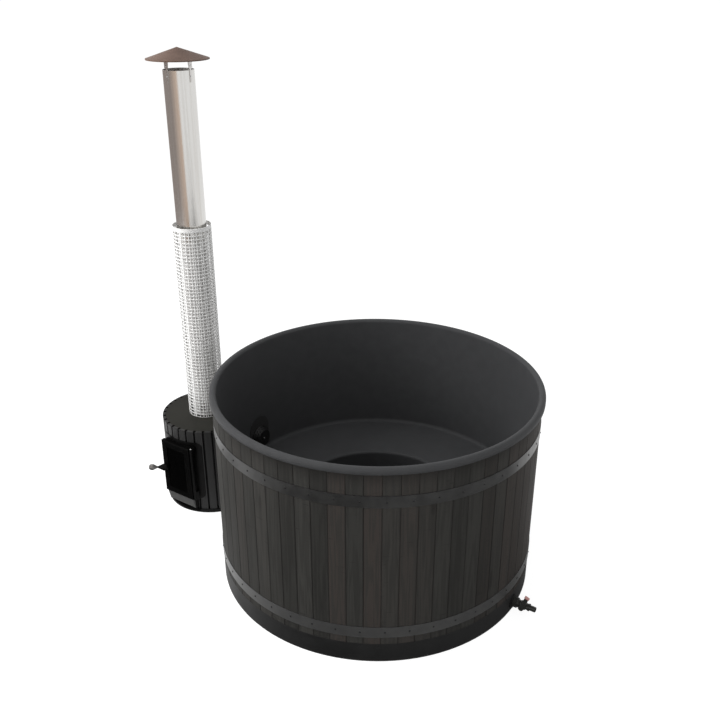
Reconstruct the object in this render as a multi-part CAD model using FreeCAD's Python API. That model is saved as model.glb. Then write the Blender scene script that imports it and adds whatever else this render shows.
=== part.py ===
import FreeCAD, Part
import math
import os
from FreeCAD import Vector

# Wood-fired hot tub: a clad tub and its outside stove with flue.
# Millimetres, +Z up. The origin is on the tub's axis at floor level.
# The stove stands on -X, its door faces -Y, and the drain is on +X.

# Shared clearances
fit_gap = 0.3
run_gap = 0.05

# Drain line
drain_z = 42.0
drain_bend = 40.0
drain_drop = 38.0
drain_x = 250.0
drain_pipe_r = 20.0
drain_pipe_wall = 2.0
drain_flange_r = 40.0
drain_flange_thick = 3.0
drain_nut_r = 30.0
drain_nut_thick = 10.0
strainer_r = 32.0
strainer_thick = 2.5
strainer_hole_r = 2.5

# Heater outlet, which sets the heights of the bench and of the stove
outlet_z = 462.0
cover_r = 64.0
cover_rise = 32.0
cover_face_r = 46.0
cover_rim = 5.0
cover_wall = 2.0
cover_hole_r = 3.4
cover_hole_count = 20
bridge_width = 12.0
bridge_thick = 4.0
bridge_post_r = 6.0
cover_screw_r = 2.5
cover_screw_head_r = 5.5
cover_screw_head = 3.0
plate_width = 150.0
plate_top_rise = 122.0
plate_thick = 3.0
water_pipe_r = 25.0
water_pipe_wall = 2.0
pipe_end = 4.0
nut_r = 42.0
nut_thick = 6.0
grille_r = 52.0
grille_rise = 16.0
grille_wall = 2.5
grille_hole_r = 4.0

# Tub liner
rim_radius = 800.0
rim_roll = 17.0
tub_height = 1013.0
lip_drop = 29.0
liner_wall = 5.0
bench_fillet = 22.0
bench_nose = 15.0
well_radius = 410.0
well_fillet = 30.0
cover_lift = 6.0

# Cladding and plinth
stave_width = 76.0
stave_thick = 15.0
stave_seam = 0.7
stave_edge = 1.6
stave_hole_gap = 7.0
seam_angle = -0.4
base_height = 100.0
base_wall = 12.0
base_floor = 10.0

# Timber under the liner
joist_width = 50.0
joist_gap = 130.0
rib_count = 12
rib_thick = 22.0
rib_inset = 15.0

# Steel bands and their screws
band_width = 57.0
band_thick = 2.0
upper_band_drop = 165.0
lower_band_rise = 66.0
band_screw_count = 45
band_screw_angle = 1.6
band_joint_gap = 4.0
screw_head_r = 4.6
screw_head = 2.4
screw_shank_r = 2.0
screw_bite = 10.0

# Drain valve
rosette_r = 37.0
rosette_thick = 6.0
union_r = 27.0
union_length = 20.0
valve_ball_r = 16.0
valve_bore_r = 11.0
valve_wall = 5.0
valve_neck_r = 16.0
valve_collar = 7.0
valve_half = 27.0
stem_r = 5.0
stem_boss_r = 9.0
stem_boss = 10.0
lever_hub_r = 13.0
lever_width = 20.0
lever_thick = 6.0
lever_reach = 84.0
lever_tilt = 20.0
lever_cap_length = 10.0
lever_cap_wall = 2.0
tail_r = 13.0
tail_bore_r = 9.0
tail_length = 30.0
tail_flange_r = 18.0
tail_flange = 6.0
tail_edge = 1.5

# Stove jacket
stove_gap = 80.0
slat_radius = 262.0
slat_thick = 14.0
slat_count = 33
slat_gap = 8.0
slat_round = 3.0
first_gap_angle = 10.0
hoop_thick = 3.4
hoop_height = 18.0
lower_hoop_z = 42.0
jacket_wall = 3.0
water_space = 46.0
firebox_wall = 4.0
firebox_crown = 43.0
stove_above_outlet = 55.0
stove_base_height = 22.0
stove_base_lip = 3.0
stove_base_plate = 6.0
lid_thick = 4.0
lid_skirt = 7.0

# Door, throat and ash drawer
door_width = 204.0
door_bottom = 105.0
door_below_lid = 86.0
door_thick = 24.0
door_reach = 30.0
door_border = 36.0
door_lip = 4.0
door_round = 5.0
glass_seat = 8.0
glass_thick = 5.0
retainer_thick = 3.0
retainer_width = 12.0
seal_space = 4.0
gasket_width = 10.0
throat_inset = 4.0
throat_wall = 4.0
throat_floor = 34.0
trim_margin = 41.0
trim_top_margin = 24.0
trim_bottom = 95.0
trim_thick = 2.5
trim_round = 30.0
drawer_clear = 4.0
drawer_wall = 2.0
drawer_past_axis = 108.0
drawer_headroom = 6.0
drawer_front_width = 190.0
drawer_front_top = 20.0
drawer_front_foot = 5.0
shelf_thick = 4.0
grate_thick = 10.0
grate_slot = 10.0
grate_bar = 16.0
lug_size = 16.0
lug_thick = 3.0

# Door hinge and latch
hinge_r = 8.0
hinge_out = 10.0
hinge_leaf = 5.0
pin_r = 4.0
pin_head_r = 6.5
pin_head = 5.0
knuckle_length = 45.0
knuckle_foot = 8.0
latch_inset = 12.0
spindle_r = 4.0
latch_hub_r = 12.0
latch_hub = 8.0
lever_angle = 34.0
lever_root_r = 20.0
lever_waist_r = 5.0
lever_length = 46.0
knob_r = 17.0
knob_length = 50.0
tongue_width = 10.0
tongue_length = 32.0
tongue_thick = 5.0
tongue_turn = 20.0
catch_depth = 10.0
catch_width = 16.0
catch_height = 24.0

# Flue, guard and rain cap
flue_r = 76.5
flue_wall = 1.5
flue_back = 18.0
flue_top = 2369.0
collar_wall = 3.0
collar_height = 60.0
lower_pipe_length = 1000.0
spigot_length = 50.0
guard_r = 99.6
guard_wall = 1.5
guard_length = 1087.0
spacer_width = 20.0
spacer_height = 25.0
spacer_inset = 40.0
cap_r = 153.0
cap_gap = 51.0
cap_rise = 51.0
cap_wall = 1.5
cap_hem = 5.0
leg_count = 4
strap_width = 11.0
strap_thick = 2.0
strap_overlap = 55.0
strap_above = 32.0
bracket_width = 24.0
bracket_overlap = 22.0
bracket_tab = 24.0
leg_screw_r = 2.0
leg_screw_head_r = 4.0
leg_screw_head = 2.2
leg_screw_bite = 4.0

# Heights and radii that follow
bench_height = outlet_z - cover_r - cover_lift - bench_fillet
well_floor = drain_z + drain_bend + drain_drop
cold_z = (well_floor + bench_height) / 2
crest_z = tub_height - rim_roll
crest_r = rim_radius - rim_roll
liner_in = crest_r - rim_roll
liner_out = liner_in + liner_wall
stave_in = liner_out + fit_gap
clad_radius = stave_in + stave_thick
# An odd count, so that the water pipes pass through the middle of one stave
stave_count = 2 * int(math.pi * clad_radius / stave_width) + 1
band_in = clad_radius + fit_gap
band_out = band_in + band_thick
upper_band_z = tub_height - upper_band_drop
lower_band_z = base_height + lower_band_rise
plate_out = liner_in - fit_gap
plate_in = plate_out - plate_thick

stove_top = outlet_z + stove_above_outlet
stove_x = -(clad_radius + stove_gap + slat_radius)
slat_in = slat_radius - slat_thick
jacket_r = slat_in - 2 * fit_gap - hoop_thick
jacket_top = stove_top - lid_thick - lid_skirt
firebox_r = jacket_r - jacket_wall - water_space
firebox_top = jacket_top - jacket_wall - firebox_crown
flue_in = flue_r - flue_wall
collar_r = flue_in - fit_gap
flue_x = stove_x - flue_back

door_top = stove_top - door_below_lid
door_front = -(slat_radius + door_reach)
door_back = door_front + door_thick
throat_front = door_back + seal_space
throat_half = door_width / 2 - throat_inset
throat_in = throat_half - throat_wall
throat_top = door_top - throat_inset
shelf_z = door_bottom - shelf_thick
drawer_floor = throat_floor + throat_wall + fit_gap
drawer_top = shelf_z - drawer_headroom
drawer_depth = slat_radius + drawer_past_axis
hinge_x = door_width / 2 + hinge_out
hinge_y = (door_front + door_back) / 2
latch_x = -(throat_in - latch_inset)
latch_z = (door_bottom + door_top) / 2 - drawer_headroom
grate_z = shelf_z + shelf_thick

valve_x = clad_radius + fit_gap + rosette_thick + fit_gap + union_length + fit_gap + valve_half
valve_body_r = valve_ball_r + valve_wall
lever_y = -(valve_body_r + stem_boss - valve_wall + fit_gap)
tail_x = valve_x + valve_half + fit_gap


def box(x0, x1, y0, y1, z0, z1):
    return Part.makeBox(x1 - x0, y1 - y0, z1 - z0, Vector(x0, y0, z0))


def rod(start, direction, radius, length):
    return Part.makeCylinder(radius, length, Vector(*start), Vector(*direction))


def tube(outer, inner, z0, z1):
    return rod((0, 0, z0), (0, 0, 1), outer, z1 - z0).cut(rod((0, 0, z0), (0, 0, 1), inner, z1 - z0))


def section(start, steps):
    """Face in the XZ plane: a step is a line to (x, z) or an arc through (x, z) to (x, z)."""
    first = Vector(start[0], 0, start[1])
    here = first
    edges = []
    for step in steps:
        there = Vector(step[-2], 0, step[-1])
        if len(step) == 2:
            edges.append(Part.LineSegment(here, there).toShape())
        else:
            edges.append(Part.Arc(here, Vector(step[0], 0, step[1]), there).toShape())
        here = there
    edges.append(Part.LineSegment(here, first).toShape())
    return Part.Face(Part.Wire(edges))


def turned(start, steps, angle=360.0):
    """Solid turned about the Z axis from a section in the XZ plane."""
    return section(start, steps).revolve(Vector(0, 0, 0), Vector(0, 0, 1), angle)


def on_arc(x, z, radius, degrees):
    turn = math.radians(degrees)
    return (x + radius * math.cos(turn), z + radius * math.sin(turn))


def arc_step(x, z, radius, start, end):
    """Arc step of a section about the centre (x, z), between two angles in degrees."""
    return on_arc(x, z, radius, (start + end) / 2) + on_arc(x, z, radius, end)


def dome_step(radius, low, high):
    """Arc step of a section from (radius, low) over a spherical dome to the axis at high."""
    rise = high - low
    ball_r = (radius ** 2 + rise ** 2) / (2 * rise)
    half_turn = math.degrees(math.asin(radius / ball_r)) / 2
    return on_arc(0, high - ball_r, ball_r, 90 - half_turn) + (0, high)


def about_z(shape, degrees):
    copy = shape.copy()
    copy.rotate(Vector(0, 0, 0), Vector(0, 0, 1), degrees)
    return copy


def ring_of(shape, count, first_angle=0.0):
    return [about_z(shape, first_angle + k * 360.0 / count) for k in range(count)]


def along_x(shape, x, z):
    """Turns a piece made along +Z so that it runs along +X from (x, 0, z)."""
    copy = shape.copy()
    copy.rotate(Vector(0, 0, 0), Vector(0, 1, 0), 90)
    copy.translate(Vector(x, 0, z))
    return copy


def moved(shape, x, y=0.0, z=0.0):
    copy = shape.copy()
    copy.translate(Vector(x, y, z))
    return copy


def hex_nut(corner_r, bore_r, thick):
    corners = [Vector(*on_arc(0, 0, corner_r, 60 * k), 0) for k in range(7)]
    block = Part.Face(Part.makePolygon(corners)).extrude(Vector(0, 0, thick))
    return block.cut(rod((0, 0, 0), (0, 0, 1), bore_r, thick))


def round_head_screw(head_r, head, shank_r, bite):
    """Screw along +Z whose head sits on z = 0."""
    top = turned((0, 0), [(head_r, 0), (head_r, head * 0.4), dome_step(head_r, head * 0.4, head)])
    return top.fuse(rod((0, 0, -bite), (0, 0, 1), shank_r, bite)).removeSplitter()


def hole_rings(rings, radius, length):
    """Drills along +Z from z = 0, on rings given as (ring radius, count)."""
    drills = []
    for ring_r, count in rings:
        drills += ring_of(rod((ring_r, 0, 0), (0, 0, 1), radius, length), count)
    return drills


def pipe_holes(radius, z, x0, x1):
    return rod((x0, 0, z), (1, 0, 0), radius, x1 - x0)


# Tub

def tub_liner():
    nose_x = well_radius + bench_nose
    nose_z = bench_height - bench_nose
    foot_x = well_radius - well_fillet
    foot_z = well_floor + well_fillet
    heel_x = liner_in - bench_fillet
    heel_z = bench_height + bench_fillet
    shell = turned((0, well_floor), [
        (foot_x, well_floor),
        arc_step(foot_x, foot_z, well_fillet, -90, 0),
        (well_radius, nose_z),
        arc_step(nose_x, nose_z, bench_nose, 180, 90),
        (heel_x, bench_height),
        arc_step(heel_x, heel_z, bench_fillet, -90, 0),
        (liner_in, crest_z),
        arc_step(crest_r, crest_z, rim_roll, 180, 90),
        arc_step(crest_r, crest_z, rim_roll, 90, 0),
        (rim_radius, tub_height - lip_drop),
        (rim_radius - liner_wall, tub_height - lip_drop),
        (rim_radius - liner_wall, crest_z),
        arc_step(crest_r, crest_z, rim_roll - liner_wall, 0, 90),
        arc_step(crest_r, crest_z, rim_roll - liner_wall, 90, 180),
        (liner_out, heel_z),
        arc_step(heel_x, heel_z, bench_fillet + liner_wall, 0, -90),
        (nose_x, bench_height - liner_wall),
        arc_step(nose_x, nose_z, bench_nose - liner_wall, 90, 180),
        (well_radius + liner_wall, foot_z),
        arc_step(foot_x, foot_z, well_fillet + liner_wall, 0, -90),
        (0, well_floor - liner_wall),
    ])
    hole_r = water_pipe_r + fit_gap
    drain_hole = rod((drain_x, 0, 0), (0, 0, 1), neck_r() + fit_gap, well_floor + well_fillet)
    return shell.cut([
        pipe_holes(hole_r, outlet_z, -rim_radius, -well_radius - bench_nose),
        pipe_holes(hole_r, cold_z, -rim_radius, 0),
        drain_hole,
    ])


def neck_r():
    """Radius of the floor drain's neck, which slips into the drain pipe."""
    return drain_pipe_r - drain_pipe_wall - fit_gap


def base_tray():
    tray = rod((0, 0, 0), (0, 0, 1), clad_radius, base_height)
    hollow = rod((0, 0, base_floor), (0, 0, 1), clad_radius - base_wall, base_height)
    return tray.cut([hollow, pipe_holes(drain_pipe_r + fit_gap, drain_z, 0, clad_radius)])


def floor_joists():
    reach = well_radius - well_fillet
    joists = []
    near = (joist_width + joist_gap) / 2
    while near + joist_width < reach:
        half = math.sqrt(reach ** 2 - (near + joist_width / 2) ** 2)
        for side in (-1, 1):
            y = side * near
            joists.append(box(-half, half, y - joist_width / 2, y + joist_width / 2,
                              base_floor, well_floor - liner_wall))
        near += joist_width + joist_gap
    return Part.Compound(joists)


def bench_ribs():
    rib = box(well_radius + liner_wall + rib_inset, liner_in - bench_fillet,
              -rib_thick / 2, rib_thick / 2, base_floor, bench_height - liner_wall)
    return Part.Compound(ring_of(rib, rib_count, 180.0 / rib_count))


def staves(drilled):
    """Staves of the wall: those that the water pipes pass through, or else the plain ones."""
    pitch = 360.0 / stave_count
    seam_turn = math.degrees(stave_seam / clad_radius)
    stave_top = crest_z
    stave = turned((stave_in, base_height), [
        (clad_radius, base_height), (clad_radius, stave_top), (stave_in, stave_top),
    ], pitch - seam_turn)
    edges = [edge for edge in stave.Edges
             if edge.BoundBox.DiagonalLength == edge.BoundBox.ZLength
             and math.hypot(edge.CenterOfMass.x, edge.CenterOfMass.y) > clad_radius - fit_gap]
    stave = stave.makeChamfer(stave_edge, edges)
    hole_r = water_pipe_r + stave_hole_gap
    holes = [pipe_holes(hole_r, z, -rim_radius, 0) for z in (outlet_z, cold_z)]
    hole_turn = math.degrees(hole_r / stave_in)
    chosen = []
    for k in range(stave_count):
        start = seam_angle + k * pitch
        solid = about_z(stave, start + seam_turn / 2)
        passed = start < 180 + hole_turn and start + pitch > 180 - hole_turn
        if passed and drilled:
            chosen.append(solid.cut(holes))
        elif not passed and not drilled:
            chosen.append(solid)
    return Part.Compound(chosen)


def band(center_z):
    ring = tube(band_out, band_in, center_z - band_width / 2, center_z + band_width / 2)
    drill = rod((clad_radius, 0, center_z), (1, 0, 0), screw_shank_r + fit_gap, 2 * band_thick)
    joint = box(0, rim_radius, -band_joint_gap / 2, band_joint_gap / 2, 0, tub_height)
    joint_angle = band_screw_angle + (band_screw_count // 3 + 0.5) * 360.0 / band_screw_count
    return ring.cut(ring_of(drill, band_screw_count, band_screw_angle) + [about_z(joint, joint_angle)])


def band_screws():
    screw = round_head_screw(screw_head_r, screw_head, screw_shank_r, band_thick + screw_bite)
    screws = []
    for z in (lower_band_z, upper_band_z):
        screws += ring_of(along_x(screw, band_out, z), band_screw_count, band_screw_angle)
    return Part.Compound(screws)


# Water circuit between stove and tub

def seat_on_hollow(wall_r, piece_r):
    """X of a flat piece of radius piece_r that bears on the hollow side of a wall at -X."""
    return -math.sqrt(wall_r ** 2 - piece_r ** 2)


def hot_nut_x():
    return seat_on_hollow(plate_in, nut_r)


def cover_x():
    return seat_on_hollow(plate_in, cover_r) + fit_gap


def outlet_plate():
    half = plate_width / 2
    bottom = bench_height + bench_fillet + fit_gap
    spring = outlet_z + plate_top_rise - half
    corners = [Vector(-rim_radius, -half, bottom), Vector(-rim_radius, half, bottom),
               Vector(-rim_radius, half, spring), Vector(-rim_radius, -half, spring)]
    sides = [Part.LineSegment(a, b).toShape() for a, b in
             ((corners[3], corners[0]), (corners[0], corners[1]), (corners[1], corners[2]))]
    arch = Part.Arc(corners[2], Vector(-rim_radius, 0, spring + half), corners[3]).toShape()
    prism = Part.Face(Part.Wire(sides + [arch])).extrude(Vector(rim_radius / 2, 0, 0))
    plate = tube(plate_out, plate_in, bottom, spring + half).common(prism)
    return plate.cut(pipe_holes(water_pipe_r + fit_gap, outlet_z, -rim_radius, 0))


def outlet_cover():
    hole = cover_screw_r + fit_gap
    cup = turned((cover_r, 0), [
        (cover_r, cover_rim), (cover_face_r, cover_rise), (hole, cover_rise),
        (hole, cover_rise - cover_wall), (cover_face_r - cover_wall / 2, cover_rise - cover_wall),
        (cover_r - cover_wall, cover_rim), (cover_r - cover_wall, 0),
    ])
    pitch = 360.0 / cover_hole_count
    drills = []
    for row, share in enumerate((0.3, 0.68)):
        z = cover_rim + share * (cover_rise - cover_rim)
        drill = rod((cover_face_r / 2, 0, z), (1, 0, 0), cover_hole_r, cover_r)
        drills += ring_of(drill, cover_hole_count, row * pitch / 2)
    return along_x(cup.cut(drills), cover_x(), outlet_z)


def cover_bridge():
    base = hot_nut_x() + nut_thick
    tip = cover_x() + cover_rise - cover_wall
    half = water_pipe_r + bridge_width / 2
    bar = box(base, base + bridge_thick, -bridge_width / 2, bridge_width / 2,
              outlet_z - half, outlet_z + half)
    post = rod((base, 0, outlet_z), (1, 0, 0), bridge_post_r, tip - base)
    thread = pipe_holes(cover_screw_r + run_gap, outlet_z, base, tip)
    return bar.fuse(post).removeSplitter().cut(thread)


def outlet_cover_screw():
    length = cover_rise / 2
    screw = round_head_screw(cover_screw_head_r, cover_screw_head, cover_screw_r, length)
    return along_x(screw, cover_x() + cover_rise, outlet_z)


def water_pipe(z, end_x):
    start = stove_x + jacket_r - jacket_wall - pipe_end
    pipe = pipe_holes(water_pipe_r, z, start, end_x)
    return pipe.cut(pipe_holes(water_pipe_r - water_pipe_wall, z, start, end_x))


def hot_water_pipe():
    return water_pipe(outlet_z, hot_nut_x() + nut_thick)


def cold_water_pipe():
    return water_pipe(cold_z, seat_on_hollow(well_radius, nut_r) + nut_thick)


def pipe_lock_nuts():
    nut = hex_nut(nut_r, water_pipe_r + fit_gap, nut_thick)
    outside = -(clad_radius + fit_gap + nut_thick)
    drain_nut = hex_nut(drain_nut_r, neck_r() + fit_gap, drain_nut_thick)
    return Part.Compound([
        along_x(nut, hot_nut_x(), outlet_z),
        along_x(nut, outside, outlet_z),
        along_x(nut, outside, cold_z),
        along_x(nut, seat_on_hollow(well_radius, nut_r), cold_z),
        moved(drain_nut, drain_x, 0, well_floor - liner_wall - drain_nut_thick),
    ])


def intake_grille():
    cup = rod((0, 0, 0), (0, 0, 1), grille_r, grille_rise)
    hollow = rod((0, 0, 0), (0, 0, 1), grille_r - grille_wall, grille_rise - grille_wall)
    rings = ((0, 1), (grille_r * 0.3, 6), (grille_r * 0.6, 12))
    cup = cup.cut([hollow] + hole_rings(rings, grille_hole_r, 2 * grille_rise))
    return along_x(cup, seat_on_hollow(well_radius, grille_r) + fit_gap, cold_z)


# Drain

def floor_drain():
    low = well_floor - liner_wall - drain_nut_thick - drain_pipe_r
    neck_in = neck_r() - drain_pipe_wall
    body = turned((neck_in, low), [
        (neck_r(), low), (neck_r(), well_floor), (drain_flange_r, well_floor),
        (drain_flange_r, well_floor + drain_flange_thick), (neck_in, well_floor + drain_flange_thick),
    ])
    return moved(body, drain_x)


def drain_strainer():
    z = well_floor + drain_flange_thick
    disc = rod((0, 0, 0), (0, 0, 1), strainer_r, strainer_thick)
    rings = ((0, 1), (strainer_r * 0.25, 6), (strainer_r * 0.45, 12))
    return moved(disc.cut(hole_rings(rings, strainer_hole_r, strainer_thick)), drain_x, 0, z)


def drain_pipe():
    top = well_floor - liner_wall - drain_nut_thick - fit_gap
    low = drain_z + drain_bend
    end = valve_x - valve_half - fit_gap
    bend_mid = on_arc(drain_x + drain_bend, low, drain_bend, 225)
    path = Part.Wire([
        Part.LineSegment(Vector(drain_x, 0, top), Vector(drain_x, 0, low)).toShape(),
        Part.Arc(Vector(drain_x, 0, low), Vector(bend_mid[0], 0, bend_mid[1]),
                 Vector(drain_x + drain_bend, 0, drain_z)).toShape(),
        Part.LineSegment(Vector(drain_x + drain_bend, 0, drain_z), Vector(end, 0, drain_z)).toShape(),
    ])
    swept = []
    for radius in (drain_pipe_r, drain_pipe_r - drain_pipe_wall):
        circle = Part.makeCircle(radius, Vector(drain_x, 0, top), Vector(0, 0, 1))
        swept.append(path.makePipe(Part.Face(Part.Wire(circle))))
    return swept[0].cut(swept[1])


def drain_rosette():
    ring = turned((drain_pipe_r + fit_gap, 0), [
        (rosette_r, 0), (rosette_r, rosette_thick / 2), (rosette_r * 0.8, rosette_thick),
        (drain_pipe_r + fit_gap, rosette_thick),
    ])
    return along_x(ring, clad_radius + fit_gap, drain_z)


def drain_union_nut():
    nut = hex_nut(union_r, drain_pipe_r + fit_gap, union_length)
    return along_x(nut, clad_radius + fit_gap + rosette_thick + fit_gap, drain_z)


def valve_body():
    ball_room = valve_ball_r + fit_gap
    barrel = turned((0, -valve_half), [
        (drain_pipe_r, -valve_half), (drain_pipe_r, -valve_half + valve_collar),
        (valve_neck_r, -valve_half + valve_collar), (valve_neck_r, -valve_ball_r),
        (valve_body_r, -valve_ball_r * 0.75), (valve_body_r, valve_ball_r * 0.75),
        (valve_neck_r, valve_ball_r), (valve_neck_r, valve_half), (0, valve_half),
    ])
    body = along_x(barrel, 0, 0)
    boss_end = valve_body_r + stem_boss - valve_wall
    body = body.fuse(rod((0, -valve_ball_r, 0), (0, -1, 0), stem_boss_r, boss_end - valve_ball_r))
    body = body.removeSplitter().cut([
        Part.makeSphere(ball_room),
        pipe_holes(valve_bore_r, 0, -valve_half, valve_half),
        rod((0, 0, 0), (0, -1, 0), stem_r + run_gap, boss_end),
    ])
    return moved(body, valve_x, 0, drain_z)


def lever_way(shape):
    """Tilts a piece made upright about the valve's stem axis and sets it on the valve."""
    copy = shape.copy()
    copy.rotate(Vector(0, 0, 0), Vector(0, 1, 0), lever_tilt)
    copy.translate(Vector(valve_x, 0, drain_z))
    return copy


def valve_ball():
    bore = rod((0, 0, -valve_ball_r), (0, 0, 1), valve_bore_r, 2 * valve_ball_r)
    slot = rod((0, 0, 0), (0, -1, 0), stem_r, valve_ball_r)
    return lever_way(Part.makeSphere(valve_ball_r).cut([bore, slot]))


def valve_stem():
    start = valve_bore_r + fit_gap
    end = -lever_y + lever_thick
    return moved(rod((0, -start, 0), (0, -1, 0), stem_r, end - start), valve_x, 0, drain_z)


def valve_lever():
    hub = rod((0, lever_y, 0), (0, -1, 0), lever_hub_r, lever_thick)
    half = lever_width / 2
    arm = box(-half, half, lever_y - lever_thick, lever_y, 0, lever_reach - lever_cap_wall)
    hole = rod((0, 0, 0), (0, -1, 0), stem_r + run_gap, -lever_y + lever_thick)
    return lever_way(hub.fuse(arm).removeSplitter().cut(hole))


def lever_cap():
    half = lever_width / 2 + lever_cap_wall
    low = lever_reach - lever_cap_length
    block = box(-half, half, lever_y - lever_thick - lever_cap_wall, lever_y + lever_cap_wall,
                low, lever_reach)
    block = block.makeFillet(lever_cap_wall * 0.9, [e for e in block.Edges if e.CenterOfMass.z > low + 1])
    pocket = box(-half + lever_cap_wall, half - lever_cap_wall, lever_y - lever_thick, lever_y,
                 low, lever_reach - lever_cap_wall)
    return lever_way(block.cut(pocket))


def hose_tail():
    end = tail_flange + tail_length
    body = turned((tail_bore_r, 0), [
        (tail_flange_r, 0), (tail_flange_r, tail_flange), (tail_r, tail_flange),
        (tail_r, end - tail_edge), (tail_r - tail_edge, end), (tail_bore_r, end),
    ])
    return along_x(body, tail_x, drain_z)


# Stove, made about its own axis

def stove_hole(radius, z):
    return pipe_holes(radius, z, 0, 2 * slat_radius)


def throat_room(gap):
    """Room for the throat through the jacket, from the floor to the throat's top."""
    half = throat_half + gap
    return box(-half, half, -2 * slat_radius, 0, 0, throat_top + gap)


def stove_base():
    r = slat_radius + stove_base_lip
    disc = rod((0, 0, 0), (0, 0, 1), r, stove_base_height)
    return disc.cut(rod((0, 0, stove_base_plate), (0, 0, 1), slat_in - fit_gap, stove_base_height))


def water_jacket():
    top_in = jacket_top - jacket_wall
    ring_in = firebox_r + fit_gap
    low = stove_base_plate
    shell = turned((ring_in, low), [
        (jacket_r, low), (jacket_r, jacket_top), (0, jacket_top), (0, top_in),
        (jacket_r - jacket_wall, top_in), (jacket_r - jacket_wall, low + jacket_wall),
        (ring_in, low + jacket_wall),
    ])
    window = box(-throat_half - fit_gap, throat_half + fit_gap, -2 * slat_radius, 0,
                 throat_floor - fit_gap, throat_top + fit_gap)
    return shell.cut([window, flue_room()] + [stove_hole(water_pipe_r + fit_gap, z)
                                              for z in (outlet_z, cold_z)])


def flue_room():
    """Hole for the flue collar through the stove's top."""
    return rod((-flue_back, 0, firebox_top), (0, 0, 1), collar_r + fit_gap, stove_top)


def firebox():
    inner = firebox_r - firebox_wall
    plate_low = throat_floor
    plate_top = throat_floor + throat_wall
    crown = firebox_top - firebox_wall
    shell = turned((inner, stove_base_plate), [
        (firebox_r, stove_base_plate), (firebox_r, firebox_top), (0, firebox_top), (0, crown),
        (inner, crown), (inner, plate_top), (0, plate_top), (0, plate_low), (inner, plate_low),
    ])
    lug = box(inner - lug_size, inner + firebox_wall / 2, -lug_size / 2, lug_size / 2,
              grate_z - lug_thick, grate_z)
    shell = shell.fuse(ring_of(lug, 4, 45)).removeSplitter()
    window = box(-throat_in, throat_in, -2 * firebox_r, 0, plate_top, throat_top - throat_wall)
    smoke = rod((-flue_back, 0, crown), (0, 0, 1), collar_r - collar_wall, firebox_wall)
    return shell.cut([window, smoke])


def fire_grate():
    r = firebox_r - firebox_wall - fit_gap
    disc = rod((0, 0, grate_z), (0, 0, 1), r - lug_size / 2, grate_thick)
    slots = []
    pitch = grate_slot + grate_bar
    reach = r - lug_size - grate_bar
    x = 0.0
    while x + grate_slot < reach:
        half = math.sqrt(reach ** 2 - (x + grate_slot / 2) ** 2)
        for side in ((-1, 1) if x else (1,)):
            slots.append(box(side * x - grate_slot / 2, side * x + grate_slot / 2, -half, half,
                             grate_z, grate_z + grate_thick))
        x += pitch
    return disc.cut(slots)


def door_throat():
    bore = box(-throat_in, throat_in, -2 * slat_radius, 0,
               throat_floor + throat_wall, throat_top - throat_wall)
    pipe = box(-throat_half, throat_half, throat_front, 0, throat_floor, throat_top)
    flange = box(-door_width / 2, door_width / 2, throat_front, throat_front + throat_wall,
                 throat_floor, throat_top)
    shelf = box(-throat_in, throat_in, throat_front, 0, shelf_z, shelf_z + shelf_thick)
    sill = box(-throat_in, throat_in, throat_front, throat_front + throat_wall,
               shelf_z, door_bottom + throat_inset + gasket_width)
    body = pipe.fuse(flange).removeSplitter().cut(bore).fuse([shelf, sill]).removeSplitter()
    return body.cut(rod((0, 0, 0), (0, 0, 1), firebox_r + fit_gap, stove_top))


def rounded_panel(half, low, high, radius, depth):
    """Panel facing -Y with rounded corners, from y = -depth to y = 0."""
    panel = box(-half, half, -depth, 0, low, high)
    corners = [e for e in panel.Edges if e.BoundBox.YLength > depth / 2]
    return panel.makeFillet(radius, corners)


def throat_trim():
    inner = slat_radius + fit_gap
    outline = rounded_panel(throat_half + trim_margin, trim_bottom, throat_top + trim_top_margin,
                            trim_round, 2 * slat_radius)
    ring = tube(inner + trim_thick, inner, trim_bottom, stove_top)
    return ring.common(outline).cut(throat_room(fit_gap))


def stove_slats():
    pitch = 360.0 / slat_count
    gap_turn = math.degrees(slat_gap / slat_radius)
    slat = turned((slat_in, stove_base_height), [
        (slat_radius, stove_base_height), (slat_radius, stove_top), (slat_in, stove_top),
    ], pitch - gap_turn)
    edges = [e for e in slat.Edges
             if math.hypot(e.CenterOfMass.x, e.CenterOfMass.y) > slat_radius - slat_round
             and e.CenterOfMass.z > stove_base_height + slat_round]
    slat = slat.makeFillet(slat_round, edges)
    rooms = [throat_room(fit_gap)] + [stove_hole(water_pipe_r + fit_gap, z) for z in (outlet_z, cold_z)]
    slats = []
    for k in range(slat_count):
        slats += about_z(slat, first_gap_angle + k * pitch + gap_turn / 2).cut(rooms).Solids
    return Part.Compound(slats)


def slat_hoops():
    upper_z = stove_top - lid_thick - hoop_height
    hoops = []
    for z in (lower_hoop_z, upper_z):
        ring = tube(slat_in - fit_gap, jacket_r + fit_gap, z, z + hoop_height)
        hoops += ring.cut(throat_room(fit_gap)).Solids
    return Part.Compound(hoops)


def stove_lid():
    edge = slat_in - fit_gap
    skirt_out = jacket_r - fit_gap
    under = stove_top - lid_thick
    disc = turned((0, stove_top), [
        (edge, stove_top), (edge, under), (skirt_out, under), (skirt_out, jacket_top),
        (skirt_out - lid_thick, jacket_top), (skirt_out - lid_thick, under), (0, under),
    ])
    return disc.cut(flue_room())


# Door, latch and ash drawer

def door_panel(inset, y0, y1):
    half = door_width / 2 - inset
    return box(-half, half, y0, y1, door_bottom + inset, door_top - inset)


def door_frame():
    frame = door_panel(0, door_front, door_back)
    front = [e for e in frame.Edges if e.CenterOfMass.y < door_front + fit_gap]
    frame = frame.makeFillet(door_round, front)
    pane_inset = door_border - glass_seat
    return frame.cut([
        door_panel(door_border, door_front, door_back),
        door_panel(pane_inset, door_front + door_lip, door_back),
        rod((latch_x, door_front, latch_z), (0, 1, 0), spindle_r + run_gap, door_thick),
    ])


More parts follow.
